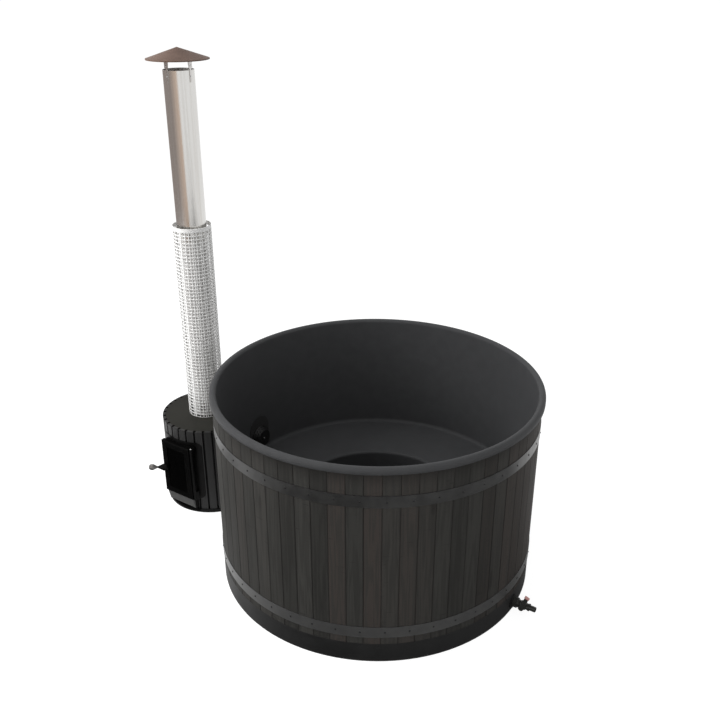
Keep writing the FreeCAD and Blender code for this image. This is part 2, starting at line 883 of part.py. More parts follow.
def door_glass():
    y = door_front + door_lip
    return door_panel(door_border - glass_seat + fit_gap, y, y + glass_thick)


def glass_retainer():
    y = door_front + door_lip + glass_thick
    inset = door_border - glass_seat + fit_gap
    ring = door_panel(inset, y, y + retainer_thick)
    return ring.cut(door_panel(inset + retainer_width, y, y + retainer_thick))


def door_gasket():
    inset = throat_inset - fit_gap
    ring = door_panel(inset, door_back, throat_front - fit_gap)
    return ring.cut(door_panel(inset + gasket_width, door_back, throat_front))


def knuckle_spans():
    """Lower knuckle, door barrel and upper knuckle as (low, high) along the hinge."""
    low = door_bottom + knuckle_length
    high = door_top - knuckle_length
    return ((door_bottom, low), (low + fit_gap, high - fit_gap), (high, door_top))


def hinge_rod(radius, low, high):
    return rod((hinge_x, hinge_y, low), (0, 0, 1), radius, high - low)


def door_hinge_barrel():
    low, high = knuckle_spans()[1]
    leaf = box(door_width / 2, hinge_x, hinge_y - hinge_leaf / 2, hinge_y + hinge_leaf / 2, low, high)
    barrel = hinge_rod(hinge_r, low, high).fuse(leaf).removeSplitter()
    return barrel.cut(hinge_rod(pin_r + run_gap, low, high))


def hinge_knuckles():
    spans = knuckle_spans()
    flange_back = throat_front + throat_wall + fit_gap
    knuckles = []
    for low, high in (spans[0], spans[2]):
        arm = box(hinge_x - hinge_leaf + 1, hinge_x + hinge_leaf - 1, hinge_y,
                  flange_back + knuckle_foot, low, high)
        foot = box(throat_half, hinge_x + hinge_leaf - 1, flange_back,
                   flange_back + knuckle_foot, low, high)
        knuckle = hinge_rod(hinge_r, low, high).fuse([arm, foot]).removeSplitter()
        knuckles.append(knuckle.cut(hinge_rod(pin_r + run_gap, low, high)))
    return Part.Compound(knuckles)


def hinge_pin():
    low = door_bottom - fit_gap
    high = door_top + fit_gap
    cheek = high + pin_head * 0.4
    head = turned((0, high), [(pin_head_r, high), (pin_head_r, cheek),
                              dome_step(pin_head_r, cheek, high + pin_head)])
    return hinge_rod(pin_r, low, high).fuse(moved(head, hinge_x, hinge_y)).removeSplitter()


def tongue_y():
    return throat_front + catch_depth + fit_gap


def latch_spindle():
    start = door_front - fit_gap - latch_hub
    return rod((latch_x, start, latch_z), (0, 1, 0), spindle_r, tongue_y() + tongue_thick - start)


def lever_line(shape):
    """Lays a piece made along +Z on the lever's line, out to the left and forward of the door."""
    copy = shape.copy()
    copy.rotate(Vector(0, 0, 0), Vector(0, 1, 0), -90)
    copy.rotate(Vector(0, 0, 0), Vector(0, 0, 1), lever_angle)
    copy.translate(Vector(latch_x, door_front - fit_gap - latch_hub / 2, latch_z))
    return copy


def latch_lever():
    hub = rod((latch_x, door_front - fit_gap - latch_hub, latch_z), (0, 1, 0), latch_hub_r, latch_hub)
    arm = lever_line(turned((0, 0), [(lever_root_r, 0), (lever_root_r, latch_hub_r),
                                     (lever_waist_r, lever_length), (0, lever_length)]))
    clear = box(latch_x - door_width, latch_x + door_width, door_front - fit_gap, 0,
                latch_z - door_width, latch_z + door_width)
    root = lever_line(Part.makeSphere(lever_root_r))
    body = hub.fuse([arm, root]).removeSplitter().cut(clear)
    return body.cut(rod((latch_x, door_front - fit_gap - latch_hub, latch_z), (0, 1, 0),
                        spindle_r + run_gap, latch_hub))


def latch_knob():
    low = lever_length
    high = lever_length + knob_length
    shoulder = high - knob_r * 0.75
    body = turned((0, low), [
        (lever_waist_r, low), (knob_r, low + knob_length / 2), (knob_r, shoulder),
        dome_step(knob_r, shoulder, high),
    ])
    return lever_line(body)


def latch_tongue():
    y = tongue_y()
    half = tongue_width / 2
    hub = rod((0, y, 0), (0, 1, 0), half + spindle_r, tongue_thick)
    blade = box(0, tongue_length, y, y + tongue_thick, -half, half)
    bore = rod((0, y, 0), (0, 1, 0), spindle_r + run_gap, tongue_thick)
    body = hub.fuse(blade).removeSplitter().cut(bore)
    body.rotate(Vector(0, 0, 0), Vector(0, 1, 0), -tongue_turn)
    return moved(body, latch_x, 0, latch_z)


def latch_catch():
    low = latch_z + tongue_width / 2 + spindle_r + seal_space
    return box(-throat_in, -throat_in + catch_width, throat_front, throat_front + catch_depth,
               low, low + catch_height)


def ash_drawer_tray():
    half = throat_in - drawer_clear
    front = throat_front - fit_gap
    tray = box(-half, half, front, front + drawer_depth, drawer_floor, drawer_top)
    return tray.cut(box(-half + drawer_wall, half - drawer_wall, front + drawer_wall,
                        front + drawer_depth - drawer_wall, drawer_floor + drawer_wall, drawer_top))


def ash_drawer_front():
    back = throat_front - fit_gap
    low = drawer_floor + drawer_wall
    high = shelf_z
    half = drawer_front_width / 2
    outline = [Vector(-half, back, low), Vector(-half, back - drawer_front_foot, low),
               Vector(-half, back - drawer_front_top, high), Vector(-half, back, high)]
    face = Part.Face(Part.makePolygon(outline + outline[:1]))
    return face.extrude(Vector(drawer_front_width, 0, 0))


# Flue, made about its own axis

def flue_collar():
    return tube(collar_r, collar_r - collar_wall, firebox_top, stove_top + collar_height)


def lower_flue_pipe():
    low = stove_top
    return tube(flue_r, flue_in, low, low + lower_pipe_length)


def upper_flue_pipe():
    joint = stove_top + lower_pipe_length
    spigot_r = flue_in - fit_gap
    pipe = turned((flue_r, joint), [
        (flue_r, flue_top), (flue_in, flue_top), (flue_in, joint + spigot_length / 5),
        (spigot_r - flue_wall, joint), (spigot_r - flue_wall, joint - spigot_length),
        (spigot_r, joint - spigot_length), (spigot_r, joint),
    ])
    return pipe.cut(leg_drills())


def leg_screw_z():
    return flue_top - strap_overlap / 2


def leg_bolt_z():
    return flue_top + strap_above - bracket_overlap / 2


def leg_drills():
    drills = []
    for z in (leg_screw_z(), leg_bolt_z()):
        drill = rod((flue_in - leg_screw_bite, 0, z), (1, 0, 0), leg_screw_r + fit_gap, guard_r)
        drills += ring_of(drill, leg_count)
    return drills


def heat_guard():
    return tube(guard_r, guard_r - guard_wall, stove_top, stove_top + guard_length)


def guard_spacers():
    block = box(flue_r + fit_gap, guard_r - guard_wall - fit_gap, -spacer_width / 2, spacer_width / 2,
                0, spacer_height)
    spacers = []
    for z in (stove_top + spacer_inset, stove_top + guard_length - spacer_inset - spacer_height):
        spacers += [moved(s, 0, 0, z) for s in ring_of(block, 3, 60)]
    outside = guard_r - guard_wall - fit_gap
    reach = rod((0, 0, 0), (0, 0, 1), outside, flue_top)
    core = rod((0, 0, 0), (0, 0, 1), flue_r + fit_gap, flue_top)
    return Part.Compound([s.common(reach).cut(core) for s in spacers])


def cap_slope():
    return cap_rise / cap_r


def rain_cap():
    low = flue_top + cap_gap
    peak = low + cap_rise
    drop = cap_wall * math.hypot(1, cap_slope())
    return turned((0, peak), [
        (cap_r, low), (cap_r, low - cap_hem), (cap_r - cap_wall, low - cap_hem),
        (cap_r - cap_wall, low + cap_wall * cap_slope() - drop), (0, peak - drop),
    ])


def under_cap(r):
    """Height of the cap's underside over the corners of a bracket at a radius."""
    peak = flue_top + cap_gap + cap_rise
    corner_r = math.hypot(r, bracket_width / 2)
    return peak - corner_r * cap_slope() - cap_wall * math.hypot(1, cap_slope())


def cap_legs():
    strap_r = flue_r + fit_gap
    strap = box(strap_r, strap_r + strap_thick, -strap_width / 2, strap_width / 2,
                flue_top - strap_overlap, flue_top + strap_above)
    inner = strap_r + strap_thick
    outer = inner + strap_thick
    tip = inner - bracket_tab
    bracket = section((inner, flue_top + strap_above - bracket_overlap), [
        (outer, flue_top + strap_above - bracket_overlap), (outer, under_cap(outer) - fit_gap),
        (tip, under_cap(tip) - fit_gap), (tip, under_cap(tip) - fit_gap - strap_thick),
        (inner, under_cap(inner) - fit_gap - strap_thick),
    ]).extrude(Vector(0, bracket_width, 0))
    bracket = moved(bracket, 0, -bracket_width / 2)
    legs = ring_of(strap, leg_count) + ring_of(bracket, leg_count)
    drills = leg_drills()
    return Part.Compound([leg.cut(drills) for leg in legs])


def cap_screws():
    strap_out = flue_r + fit_gap + strap_thick
    short = round_head_screw(leg_screw_head_r, leg_screw_head, leg_screw_r,
                             strap_thick + fit_gap + flue_wall + leg_screw_bite / 2)
    long = round_head_screw(leg_screw_head_r, leg_screw_head, leg_screw_r, 2 * strap_thick)
    nut = hex_nut(leg_screw_head_r, leg_screw_r, leg_screw_head)
    bolt = along_x(long, strap_out + strap_thick, leg_bolt_z()).fuse(
        along_x(nut, strap_out - strap_thick - leg_screw_head, leg_bolt_z()))
    screws = ring_of(along_x(short, strap_out, leg_screw_z()), leg_count) + ring_of(bolt, leg_count)
    return Part.Compound(screws)


tub_pieces = {
    "base_tray": base_tray(), "floor_joists": floor_joists(), "bench_ribs": bench_ribs(),
    "tub_liner": tub_liner(), "wall_staves": staves(False), "drilled_stave": staves(True),
    "upper_band": band(upper_band_z), "lower_band": band(lower_band_z), "band_screws": band_screws(),
    "outlet_plate": outlet_plate(), "outlet_cover": outlet_cover(), "cover_bridge": cover_bridge(),
    "outlet_cover_screw": outlet_cover_screw(), "hot_water_pipe": hot_water_pipe(),
    "cold_water_pipe": cold_water_pipe(), "pipe_lock_nuts": pipe_lock_nuts(),
    "intake_grille": intake_grille(), "floor_drain": floor_drain(), "drain_strainer": drain_strainer(),
    "drain_pipe": drain_pipe(), "drain_rosette": drain_rosette(), "drain_union_nut": drain_union_nut(),
    "valve_body": valve_body(), "valve_ball": valve_ball(), "valve_stem": valve_stem(),
    "valve_lever": valve_lever(), "lever_cap": lever_cap(), "hose_tail": hose_tail(),
}

stove_pieces = {
    "stove_base": stove_base(), "water_jacket": water_jacket(), "firebox": firebox(),
    "fire_grate": fire_grate(), "door_throat": door_throat(), "throat_trim": throat_trim(),
    "stove_slats": stove_slats(), "slat_hoops": slat_hoops(), "stove_lid": stove_lid(),
    "door_frame": door_frame(), "door_glass": door_glass(), "glass_retainer": glass_retainer(),
    "door_gasket": door_gasket(), "door_hinge_barrel": door_hinge_barrel(),
    "hinge_knuckles": hinge_knuckles(), "hinge_pin": hinge_pin(), "latch_spindle": latch_spindle(),
    "latch_lever": latch_lever(), "latch_knob": latch_knob(), "latch_tongue": latch_tongue(),
    "latch_catch": latch_catch(), "ash_drawer_tray": ash_drawer_tray(),
    "ash_drawer_front": ash_drawer_front(),
}

flue_pieces = {
    "flue_collar": flue_collar(), "lower_flue_pipe": lower_flue_pipe(),
    "upper_flue_pipe": upper_flue_pipe(), "heat_guard": heat_guard(), "guard_spacers": guard_spacers(),
    "rain_cap": rain_cap(), "cap_legs": cap_legs(), "cap_screws": cap_screws(),
}

os.makedirs("parts", exist_ok=True)
for pieces, x in ((tub_pieces, 0.0), (stove_pieces, stove_x), (flue_pieces, flue_x)):
    for name, shape in pieces.items():
        moved(shape, x).exportStep("parts/" + name + ".step")
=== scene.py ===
"""Wood-fired hot tub with its outside stove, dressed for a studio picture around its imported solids."""

import logging
import math
import random
from dataclasses import dataclass
from enum import Enum
from typing import Callable, Sequence, Union

import bpy
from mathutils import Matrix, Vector


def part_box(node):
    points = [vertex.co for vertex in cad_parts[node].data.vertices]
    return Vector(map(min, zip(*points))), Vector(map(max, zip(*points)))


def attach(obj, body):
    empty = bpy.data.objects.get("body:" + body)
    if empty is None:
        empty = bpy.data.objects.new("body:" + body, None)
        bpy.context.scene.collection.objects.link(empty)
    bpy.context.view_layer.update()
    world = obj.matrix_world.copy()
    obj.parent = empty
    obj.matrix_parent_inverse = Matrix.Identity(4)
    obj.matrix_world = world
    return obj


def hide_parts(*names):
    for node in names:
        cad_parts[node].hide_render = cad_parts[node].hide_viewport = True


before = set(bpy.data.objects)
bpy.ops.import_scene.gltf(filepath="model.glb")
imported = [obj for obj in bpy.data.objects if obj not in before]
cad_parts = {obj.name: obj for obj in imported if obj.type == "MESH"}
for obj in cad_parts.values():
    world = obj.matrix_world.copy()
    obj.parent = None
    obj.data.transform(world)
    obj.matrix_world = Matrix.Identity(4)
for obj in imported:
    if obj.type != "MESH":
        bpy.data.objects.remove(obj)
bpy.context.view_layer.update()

LOG = logging.getLogger("hot_tub")
ROOT_BODY = "tub_and_stove"
MM = 0.001

Color = tuple[float, float, float]
Point = tuple[float, float, float]
Span = tuple[float, float]
Key = Union[str, int]
Material = bpy.types.Material
Node = bpy.types.Node
Outputs = bpy.types.bpy_prop_collection
Piece = bpy.types.Object
Socket = bpy.types.NodeSocket
Source = Union[Socket, float, tuple]
WHITE: Color = (1.0, 1.0, 1.0)


# Node work

class NodeBench:
    """Lays out the nodes of one material or of one shared effect."""

    def __init__(self, tree: bpy.types.NodeTree) -> None:
        """Empties the tree to work on."""
        self.tree = tree
        tree.nodes.clear()

    def add(self, kind: str, *pairs: tuple[Key, Source], **settings: object) -> Node:
        """Adds a node.

        Args:
            kind: The node's type name.
            pairs: The name or number of an input, and its source.
            settings: Properties to set on it.

        Returns:
            The new node.
        """
        node = self.tree.nodes.new(kind)
        for name, value in settings.items():
            setattr(node, name, value)
        for key, source in pairs:
            self.feed(node, key, source)
        return node

    def feed(self, node: Node, key: Key, source: Source) -> None:
        """Links an input to its source, or sets its constant.

        Args:
            node: The node with the input.
            key: The input's name or number.
            source: Another node's output, a number or a tuple.
        """
        if isinstance(source, Socket):
            self.tree.links.new(source, node.inputs[key])
        else:
            node.inputs[key].default_value = source

    def math(self, operation: str, first: Source, second: Source = 0.0) -> Socket:
        """Works out a number from one or two others by an operation of the Math node."""
        return self.add("ShaderNodeMath", (0, first), (1, second), operation=operation).outputs[0]

    def spread(self, value: Source, low: float, high: float, to_low: float = 0.0,
               to_high: float = 1.0) -> Socket:
        """Maps the values from low to high smoothly onto those from to_low to to_high."""
        pairs = enumerate((value, low, high, to_low, to_high))
        return self.add("ShaderNodeMapRange", *pairs, interpolation_type="SMOOTHSTEP").outputs["Result"]

    def scaled(self, vector: Source, scale: Source) -> Socket:
        """Stretches coordinates by a factor on each axis."""
        return self.add("ShaderNodeVectorMath", (0, vector), (1, scale), operation="MULTIPLY").outputs[0]

    def noise(self, vector: Source, scale: Source, detail: float, roughness: float) -> Socket:
        """Adds soft noise about 0.5, whose roughness is how much its fine octaves count."""
        pairs = (("Vector", vector), ("Scale", scale), ("Detail", detail), ("Roughness", roughness))
        return self.add("ShaderNodeTexNoise", *pairs).outputs["Fac"]

    def blend(self, factor: Source, first: Source, second: Source) -> Socket:
        """Mixes two colours by the share of the second."""
        pairs = (("Factor", factor), ("A", rgba(first)), ("B", rgba(second)))
        return self.add("ShaderNodeMix", *pairs, data_type="RGBA").outputs["Result"]

    def bump(self, height: Source, distance: float, strength: float) -> Socket:
        """Turns a height of 0 to 1 into a normal, by its real depth in metres and the share that shows."""
        pairs = (("Height", height), ("Distance", distance), ("Strength", strength))
        return self.add("ShaderNodeBump", *pairs).outputs["Normal"]

    def around(self, value: Source, low: float, high: float, middle: float, width: float) -> Socket:
        """Maps a range of values onto a band of some width about a middle value."""
        return self.spread(value, low, high, middle - width / 2, middle + width / 2)

    def place(self) -> Socket:
        """Gives the Object coordinates."""
        return self.add("ShaderNodeTexCoord").outputs["Object"]

    def split(self, place: Source) -> Outputs:
        """Splits coordinates into the outputs X, Y and Z."""
        return self.add("ShaderNodeSeparateXYZ", (0, place)).outputs

    def seen(self) -> Socket:
        """Tells rays that show a surface, straight or mirrored, from rays that only light.

        Returns:
            1 for a ray that shows it, or else 0.
        """
        rays = self.add("ShaderNodeLightPath").outputs
        mirrored = self.math("MAXIMUM", rays["Is Glossy Ray"], rays["Is Transmission Ray"])
        return self.math("MAXIMUM", rays["Is Camera Ray"], mirrored)

    def show(self, shader: Node, kind: str = "ShaderNodeOutputMaterial") -> None:
        """Links a shader to a new output node."""
        self.add(kind, ("Surface", shader.outputs[0]))

    def emit(self, color: Source) -> None:
        """Makes the surface shine in a colour."""
        self.show(self.add("ShaderNodeEmission", ("Color", color)))


def rgba(source: Source) -> Source:
    """Adds an alpha of 1 to a plain colour, and leaves a socket as it is."""
    return (*source, 1.0) if isinstance(source, tuple) and len(source) == 3 else source


def grey(level: float) -> Color:
    """Gives a grey."""
    return (level, level, level)


class Effect(Enum):
    """Surface effects that several finishes share, each a node group that is built once."""

    GRAIN = "wood_grain"
    LINES = "brushed_lines"
    MOTTLE = "fine_mottle"

    def group(self) -> bpy.types.NodeTree:
        """Gives the effect's node group, and builds it the first time.

        Returns:
            The node group.
        """
        tree = bpy.data.node_groups.get(self.value)
        if tree is None:
            tree = bpy.data.node_groups.new(self.value, "ShaderNodeTree")
            {Effect.GRAIN: lay_grain, Effect.LINES: lay_lines, Effect.MOTTLE: lay_mottle}[self](tree)
        return tree

    def use(self, bench: NodeBench, **sources: Source) -> Outputs:
        """Places the effect in a material, with a source for each of its inputs."""
        return bench.add("ShaderNodeGroup", *sources.items(), node_tree=self.group()).outputs


def open_group(tree: bpy.types.NodeTree, inputs: dict[str, str],
               outputs: Sequence[str]) -> tuple[NodeBench, Outputs, Node]:
    """Starts a node group.

    Args:
        tree: The new group.
        inputs: Each input's name and socket type.
        outputs: The names of its outputs, all of them values.

    Returns:
        A node bench, what the group is given and its output node.
    """
    for name, kind in inputs.items():
        tree.interface.new_socket(name, in_out="INPUT", socket_type=kind)
    for name in outputs:
        tree.interface.new_socket(name, in_out="OUTPUT", socket_type="NodeSocketFloat")
    bench = NodeBench(tree)
    return bench, bench.add("NodeGroupInput").outputs, bench.add("NodeGroupOutput")


BOARD_SHIFT = (17.0, 5.3, 31.0)
FIBRE_SCALE = (260.0, 260.0, 6.0)
FIGURE_SCALE = (26.0, 26.0, 1.1)
FIGURE_RINGS = 42.0
KNOT_SCALE = (11.0, 11.0, 2.6)
KNOT_EDGE = (0.07, 0.2)
KNOT_FLOOR = 0.62
CHECK_SCALE = (14.0, 14.0, 150.0)
CHECK_EDGE = (0.68, 0.74)
FIBRE_HEIGHT = 0.7
FIGURE_HEIGHT = 0.3
CLOUD_SHARE = 0.02


def lay_grain(tree: bpy.types.NodeTree) -> None:
    """Lays out wood grain that runs along Z, shifted from board to board.

    Args:
        tree: The new group.
    """
    bench, given, made = open_group(
        tree, {"Vector": "NodeSocketVector", "Board": "NodeSocketFloat"},
        ("Fibre", "Figure", "Knot", "Check", "Height"))
    shifts = [bench.math("MULTIPLY", given["Board"], reach) for reach in BOARD_SHIFT]
    shift = bench.add("ShaderNodeCombineXYZ", *enumerate(shifts))
    wood = bench.add("ShaderNodeVectorMath", (0, given["Vector"]), (1, shift.outputs[0]),
                     operation="ADD").outputs[0]
    fibre = bench.noise(bench.scaled(wood, FIBRE_SCALE), 1.0, detail=4.0, roughness=0.65)
    broad = bench.noise(bench.scaled(wood, FIGURE_SCALE), 1.0, detail=2.0, roughness=0.5)
    figure = bench.spread(bench.math("SINE", bench.math("MULTIPLY", broad, FIGURE_RINGS)), -1.0, 1.0)
    cells = bench.add("ShaderNodeTexVoronoi", ("Vector", bench.scaled(wood, KNOT_SCALE)),
                      ("Scale", 1.0)).outputs
    spot = bench.spread(cells["Distance"], *KNOT_EDGE, 1.0, 0.0)
    knot_and_shade = bench.math("MULTIPLY", spot, bench.math("GREATER_THAN", cells["Color"], KNOT_FLOOR))
    crack = bench.noise(bench.scaled(wood, CHECK_SCALE), 1.0, detail=2.0, roughness=0.5)
    check = bench.spread(crack, *CHECK_EDGE)
    height = bench.math("ADD", bench.math("MULTIPLY", fibre, FIBRE_HEIGHT),
                        bench.math("MULTIPLY", figure, FIGURE_HEIGHT))
    for key, source in enumerate((fibre, figure, knot_and_shade, check, height)):
        bench.feed(made, key, source)


def lay_lines(tree: bpy.types.NodeTree) -> None:
    """Lays out the fine lines of a brushed metal along one stretched axis.

    Args:
        tree: The new group.
    """
    bench, given, made = open_group(
        tree, {"Vector": "NodeSocketVector", "Stretch": "NodeSocketVector"}, ("Line",))
    long = bench.scaled(given["Vector"], given["Stretch"])
    bench.feed(made, "Line", bench.noise(long, 1.0, detail=5.0, roughness=0.7))


def lay_mottle(tree: bpy.types.NodeTree) -> None:
    """Lays out the fine unevenness of moulded, cast and painted surfaces.

    Args:
        tree: The new group.
    """
    bench, given, made = open_group(
        tree, {"Vector": "NodeSocketVector", "Scale": "NodeSocketFloat"}, ("Cloud", "Pore"))
    place, scale = given["Vector"], given["Scale"]
    slow = bench.math("MULTIPLY", scale, CLOUD_SHARE)
    bench.feed(made, "Pore", bench.noise(place, scale, detail=3.0, roughness=0.6))
    bench.feed(made, "Cloud", bench.noise(place, slow, detail=4.0, roughness=0.6))


# Finishes

def new_material(name: str) -> tuple[Material, NodeBench]:
    """Adds an empty material.

    Args:
        name: The material's name.

    Returns:
        The material and its node bench.
    """
    material = bpy.data.materials.new(name)
    material.use_nodes = True
    return material, NodeBench(material.node_tree)


def start_material(name: str, roughness: float, metallic: float, specular: float) -> tuple[NodeBench, Node]:
    """Starts a material with one Principled shader.

    Args:
        name: The material's name.
        roughness: The shader's plain roughness.
        metallic: The shader's plain metallic value.
        specular: The shader's specular level.

    Returns:
        The node bench and the shader.
    """
    bench = new_material(name)[1]
    shader = bench.add("ShaderNodeBsdfPrincipled", ("Roughness", roughness), ("Metallic", metallic),
                       ("Specular IOR Level", specular))
    bench.show(shader)
    return bench, shader


@dataclass(frozen=True)
class Coating:
    """Paint, moulded plastic or cast metal with a fine uneven surface."""

    name: str
    color: Color
    worn: Color
    roughness: float = 0.5
    rough_range: float = 0.12
    metallic: float = 0.0
    specular: float = 0.4
    pore_scale: float = 700.0
    pore_depth: float = 0.0002
    pore_strength: float = 0.25
    patch_span: Span = (0.3, 0.75)
    rough_span: Span = (0.2, 0.8)

    def build(self) -> Material:
        """Builds the material.

        Returns:
            The material.
        """
        bench, shader = start_material(self.name, self.roughness, self.metallic, self.specular)
        mottle = Effect.MOTTLE.use(bench, Vector=bench.place(), Scale=self.pore_scale)
        patch = bench.spread(mottle["Cloud"], *self.patch_span)
        bench.feed(shader, "Base Color", bench.blend(patch, self.color, self.worn))
        rough = bench.around(mottle["Cloud"], *self.rough_span, self.roughness, self.rough_range)
        bench.feed(shader, "Roughness", rough)
        bench.feed(shader, "Normal", bench.bump(mottle["Pore"], self.pore_depth, self.pore_strength))
        return bpy.data.materials[self.name]


@dataclass(frozen=True)
class Brushed:
    """Bare steel with fine lines along one axis."""

    name: str
    color: Color
    tint: Color
    roughness: float = 0.32
    rough_range: float = 0.14
    stretch: Point = (900.0, 900.0, 14.0)
    streak: Point = (70.0, 70.0, 0.9)
    depth: float = 0.00008
    strength: float = 0.3
    dull_below: float = 0.0
    dull_fade: float = 0.01
    dull_metal: float = 0.2
    axis_x: float = 0.0
    bore: float = 0.0
    specular: float = 0.5
    line_span: Span = (0.3, 0.7)

    def metal(self, bench: NodeBench, place: Socket) -> Socket:
        """Dulls the steel of a pipe below a height and inside its bore.

        Args:
            bench: The material's node bench.
            place: The Object coordinates.

        Returns:
            The metallic value.
        """
        split = bench.split(place)
        bare = bench.spread(split["Z"], self.dull_below - self.dull_fade,
                            self.dull_below + self.dull_fade, self.dull_metal, 1.0)
        across = bench.math("SUBTRACT", split["X"], self.axis_x)
        along = split["Y"]
        reach = bench.math("SQRT", bench.math("ADD", bench.math("MULTIPLY", across, across),
                                              bench.math("MULTIPLY", along, along)))
        outside = bench.math("GREATER_THAN", reach, self.bore)
        return bench.math("MULTIPLY", bare, outside)

    def build(self) -> Material:
        """Builds the material.

        Returns:
            The material.
        """
        bench, shader = start_material(self.name, self.roughness, 1.0, self.specular)
        place = bench.place()
        lines = Effect.LINES.use(bench, Vector=place, Stretch=self.stretch)
        streaks = Effect.LINES.use(bench, Vector=place, Stretch=self.streak)
        shade = bench.spread(streaks["Line"], *self.line_span)
        bench.feed(shader, "Base Color", bench.blend(shade, self.color, self.tint))
        rough = bench.around(lines["Line"], *self.line_span, self.roughness, self.rough_range)
        bench.feed(shader, "Roughness", rough)
        bench.feed(shader, "Normal", bench.bump(lines["Line"], self.depth, self.strength))
        if self.dull_below:
            bench.feed(shader, "Metallic", self.metal(bench, place))
        return bpy.data.materials[self.name]


@dataclass(frozen=True)
class Boards:
    """Stained or plain wood in boards that stand side by side round an axis."""

    name: str
    dark: Color
    light: Color
    warm: Color
    # colour of the knots and checks, also of the darkening at board edges and of the painted shade under the
    # rim
    knot_and_shade: Color
    count: int
    seam_angle: float
    axis_x: float = 0.0
    roughness: float = 0.7
    specular: float = 0.2
    depth: float = 0.0006
    strength: float = 0.5
    edge_share: float = 0.09
    check_share: float = 0.45
    knot_share: float = 0.55
    # painted shade: the boards darken towards their top, where the rim shades them
    rim_shade_share: float = 0.0
    rim_shade_zone: Span = (0.90, 1.0)
    figure_share: float = 0.45
    fibre_share: float = 0.55
    warm_from: float = 0.6
    warm_range: Span = (0.35, 0.8)
    shade_range: Span = (0.82, 1.16)
    shadow_range: Span = (0.25, 0.9)
    rough_range: float = 0.2
    draw_shift: float = 0.37
    fibre_span: Span = (0.25, 0.8)
    figure_span: Span = (0.1, 0.9)
    rough_span: Span = (0.2, 0.8)

    def board(self, bench: NodeBench, place: Socket) -> tuple[Outputs, Socket]:
        """Gives each board its own random numbers from its place round the axis.

        Args:
            bench: The material's node bench.
            place: The Object coordinates.

        Returns:
            White noise, whose value and colour differ from board to board, and how near a point is to its
            board's edge, from 1 at the edge to 0.
        """
        split = bench.split(place)
        out = bench.math("SUBTRACT", split["X"], self.axis_x)
        turn = bench.math("ARCTAN2", split["Y"], out)
        steps = bench.math("MULTIPLY", bench.math("SUBTRACT", turn, self.seam_angle),
                           self.count / math.tau)
        cell = bench.math("ADD", bench.math("FLOOR", steps), self.draw_shift)
        draw = bench.add("ShaderNodeTexWhiteNoise", ("W", cell), noise_dimensions="1D").outputs
        across = bench.math("ABSOLUTE", bench.math("SUBTRACT", bench.math("FRACT", steps), 0.5))
        return draw, bench.spread(across, 0.5 - self.edge_share, 0.5)

    def build(self) -> Material:
        """Builds the material.

        Returns:
            The material.
        """
        bench, shader = start_material(self.name, self.roughness, 0.0, self.specular)
        place = bench.place()
        board, edge = self.board(bench, place)
        grain = Effect.GRAIN.use(bench, Vector=place, Board=board["Value"])
        shares = bench.add("ShaderNodeSeparateColor", (0, board["Color"])).outputs
        figure = bench.math("MULTIPLY", grain["Figure"], self.figure_share)
        fibre = bench.spread(grain["Fibre"], *self.fibre_span, 0.0, self.fibre_share)
        tone = bench.blend(bench.math("ADD", figure, fibre), self.dark, self.light)
        warmth = bench.math("MULTIPLY", bench.spread(shares["Red"], self.warm_from, 1.0),
                            bench.spread(grain["Figure"], *self.figure_span, *self.warm_range))
        tone = bench.blend(warmth, tone, self.warm)
        level = bench.spread(shares["Green"], 0.0, 1.0, *self.shade_range)
        shade = bench.add("ShaderNodeHueSaturation", ("Value", level), ("Color", tone))
        checks = bench.math("MULTIPLY", grain["Check"], self.check_share)
        shadow = bench.math("MULTIPLY", edge,
                            bench.spread(shares["Blue"], 0.0, 1.0, *self.shadow_range))
        knots = bench.math("MULTIPLY", grain["Knot"], self.knot_share)
        # painted shade under the rim, mixed with the knots, the checks and the darkening at the board edges
        marks_and_shade = bench.spread(bench.split(place)["Z"], *self.rim_shade_zone, 0.0, self.rim_shade_share)
        for mark in (knots, checks, shadow):
            marks_and_shade = bench.math("MAXIMUM", marks_and_shade, mark)
        bench.feed(shader, "Base Color", bench.blend(marks_and_shade, shade.outputs[0], self.knot_and_shade))
        bench.feed(shader, "Roughness",
                   bench.around(grain["Fibre"], *self.rough_span, self.roughness, self.rough_range))
        bench.feed(shader, "Normal", bench.bump(grain["Height"], self.depth, self.strength))
        return bpy.data.materials[self.name]


@dataclass(frozen=True)
class SmokedGlass:
    """Heat-proof stove glass, dark from soot behind it."""

    name: str
    color: Color
    soot: Color
    roughness: float = 0.06
    rough_range: Span = (0.05, 0.2)
    specular: float = 0.03
    film_scale: float = 260.0
    film_span: Span = (0.35, 0.8)
    rough_span: Span = (0.3, 0.8)

    def build(self) -> Material:
        """Builds the material.

        Returns:
            The material.
        """
        bench, shader = start_material(self.name, self.roughness, 0.0, self.specular)
        mottle = Effect.MOTTLE.use(bench, Vector=bench.place(), Scale=self.film_scale)
        film = bench.spread(mottle["Cloud"], *self.film_span)
        bench.feed(shader, "Base Color", bench.blend(film, self.color, self.soot))
        bench.feed(shader, "Roughness", bench.spread(mottle["Cloud"], *self.rough_span, *self.rough_range))
        return bpy.data.materials[self.name]


@dataclass(frozen=True)
class WovenRope:
    """Braided heat-proof rope of the door's seal."""

    name: str
    color: Color
    shadow: Color
    roughness: float = 0.95
    specular: float = 0.2
    weave_scale: float = 120.0
    distortion: float = 1.5
    depth: float = 0.0008
    strength: float = 0.8

    def build(self) -> Material:
        """Builds the material.

        Returns:
            The material.
        """
        bench, shader = start_material(self.name, self.roughness, 0.0, self.specular)
        weave = bench.add("ShaderNodeTexWave", ("Vector", bench.place()), ("Scale", self.weave_scale),
                          ("Distortion", self.distortion), wave_type="BANDS", bands_direction="DIAGONAL")
        bench.feed(shader, "Base Color", bench.blend(weave.outputs["Fac"], self.shadow, self.color))
        bench.feed(shader, "Normal", bench.bump(weave.outputs["Fac"], self.depth, self.strength))
        return bpy.data.materials[self.name]


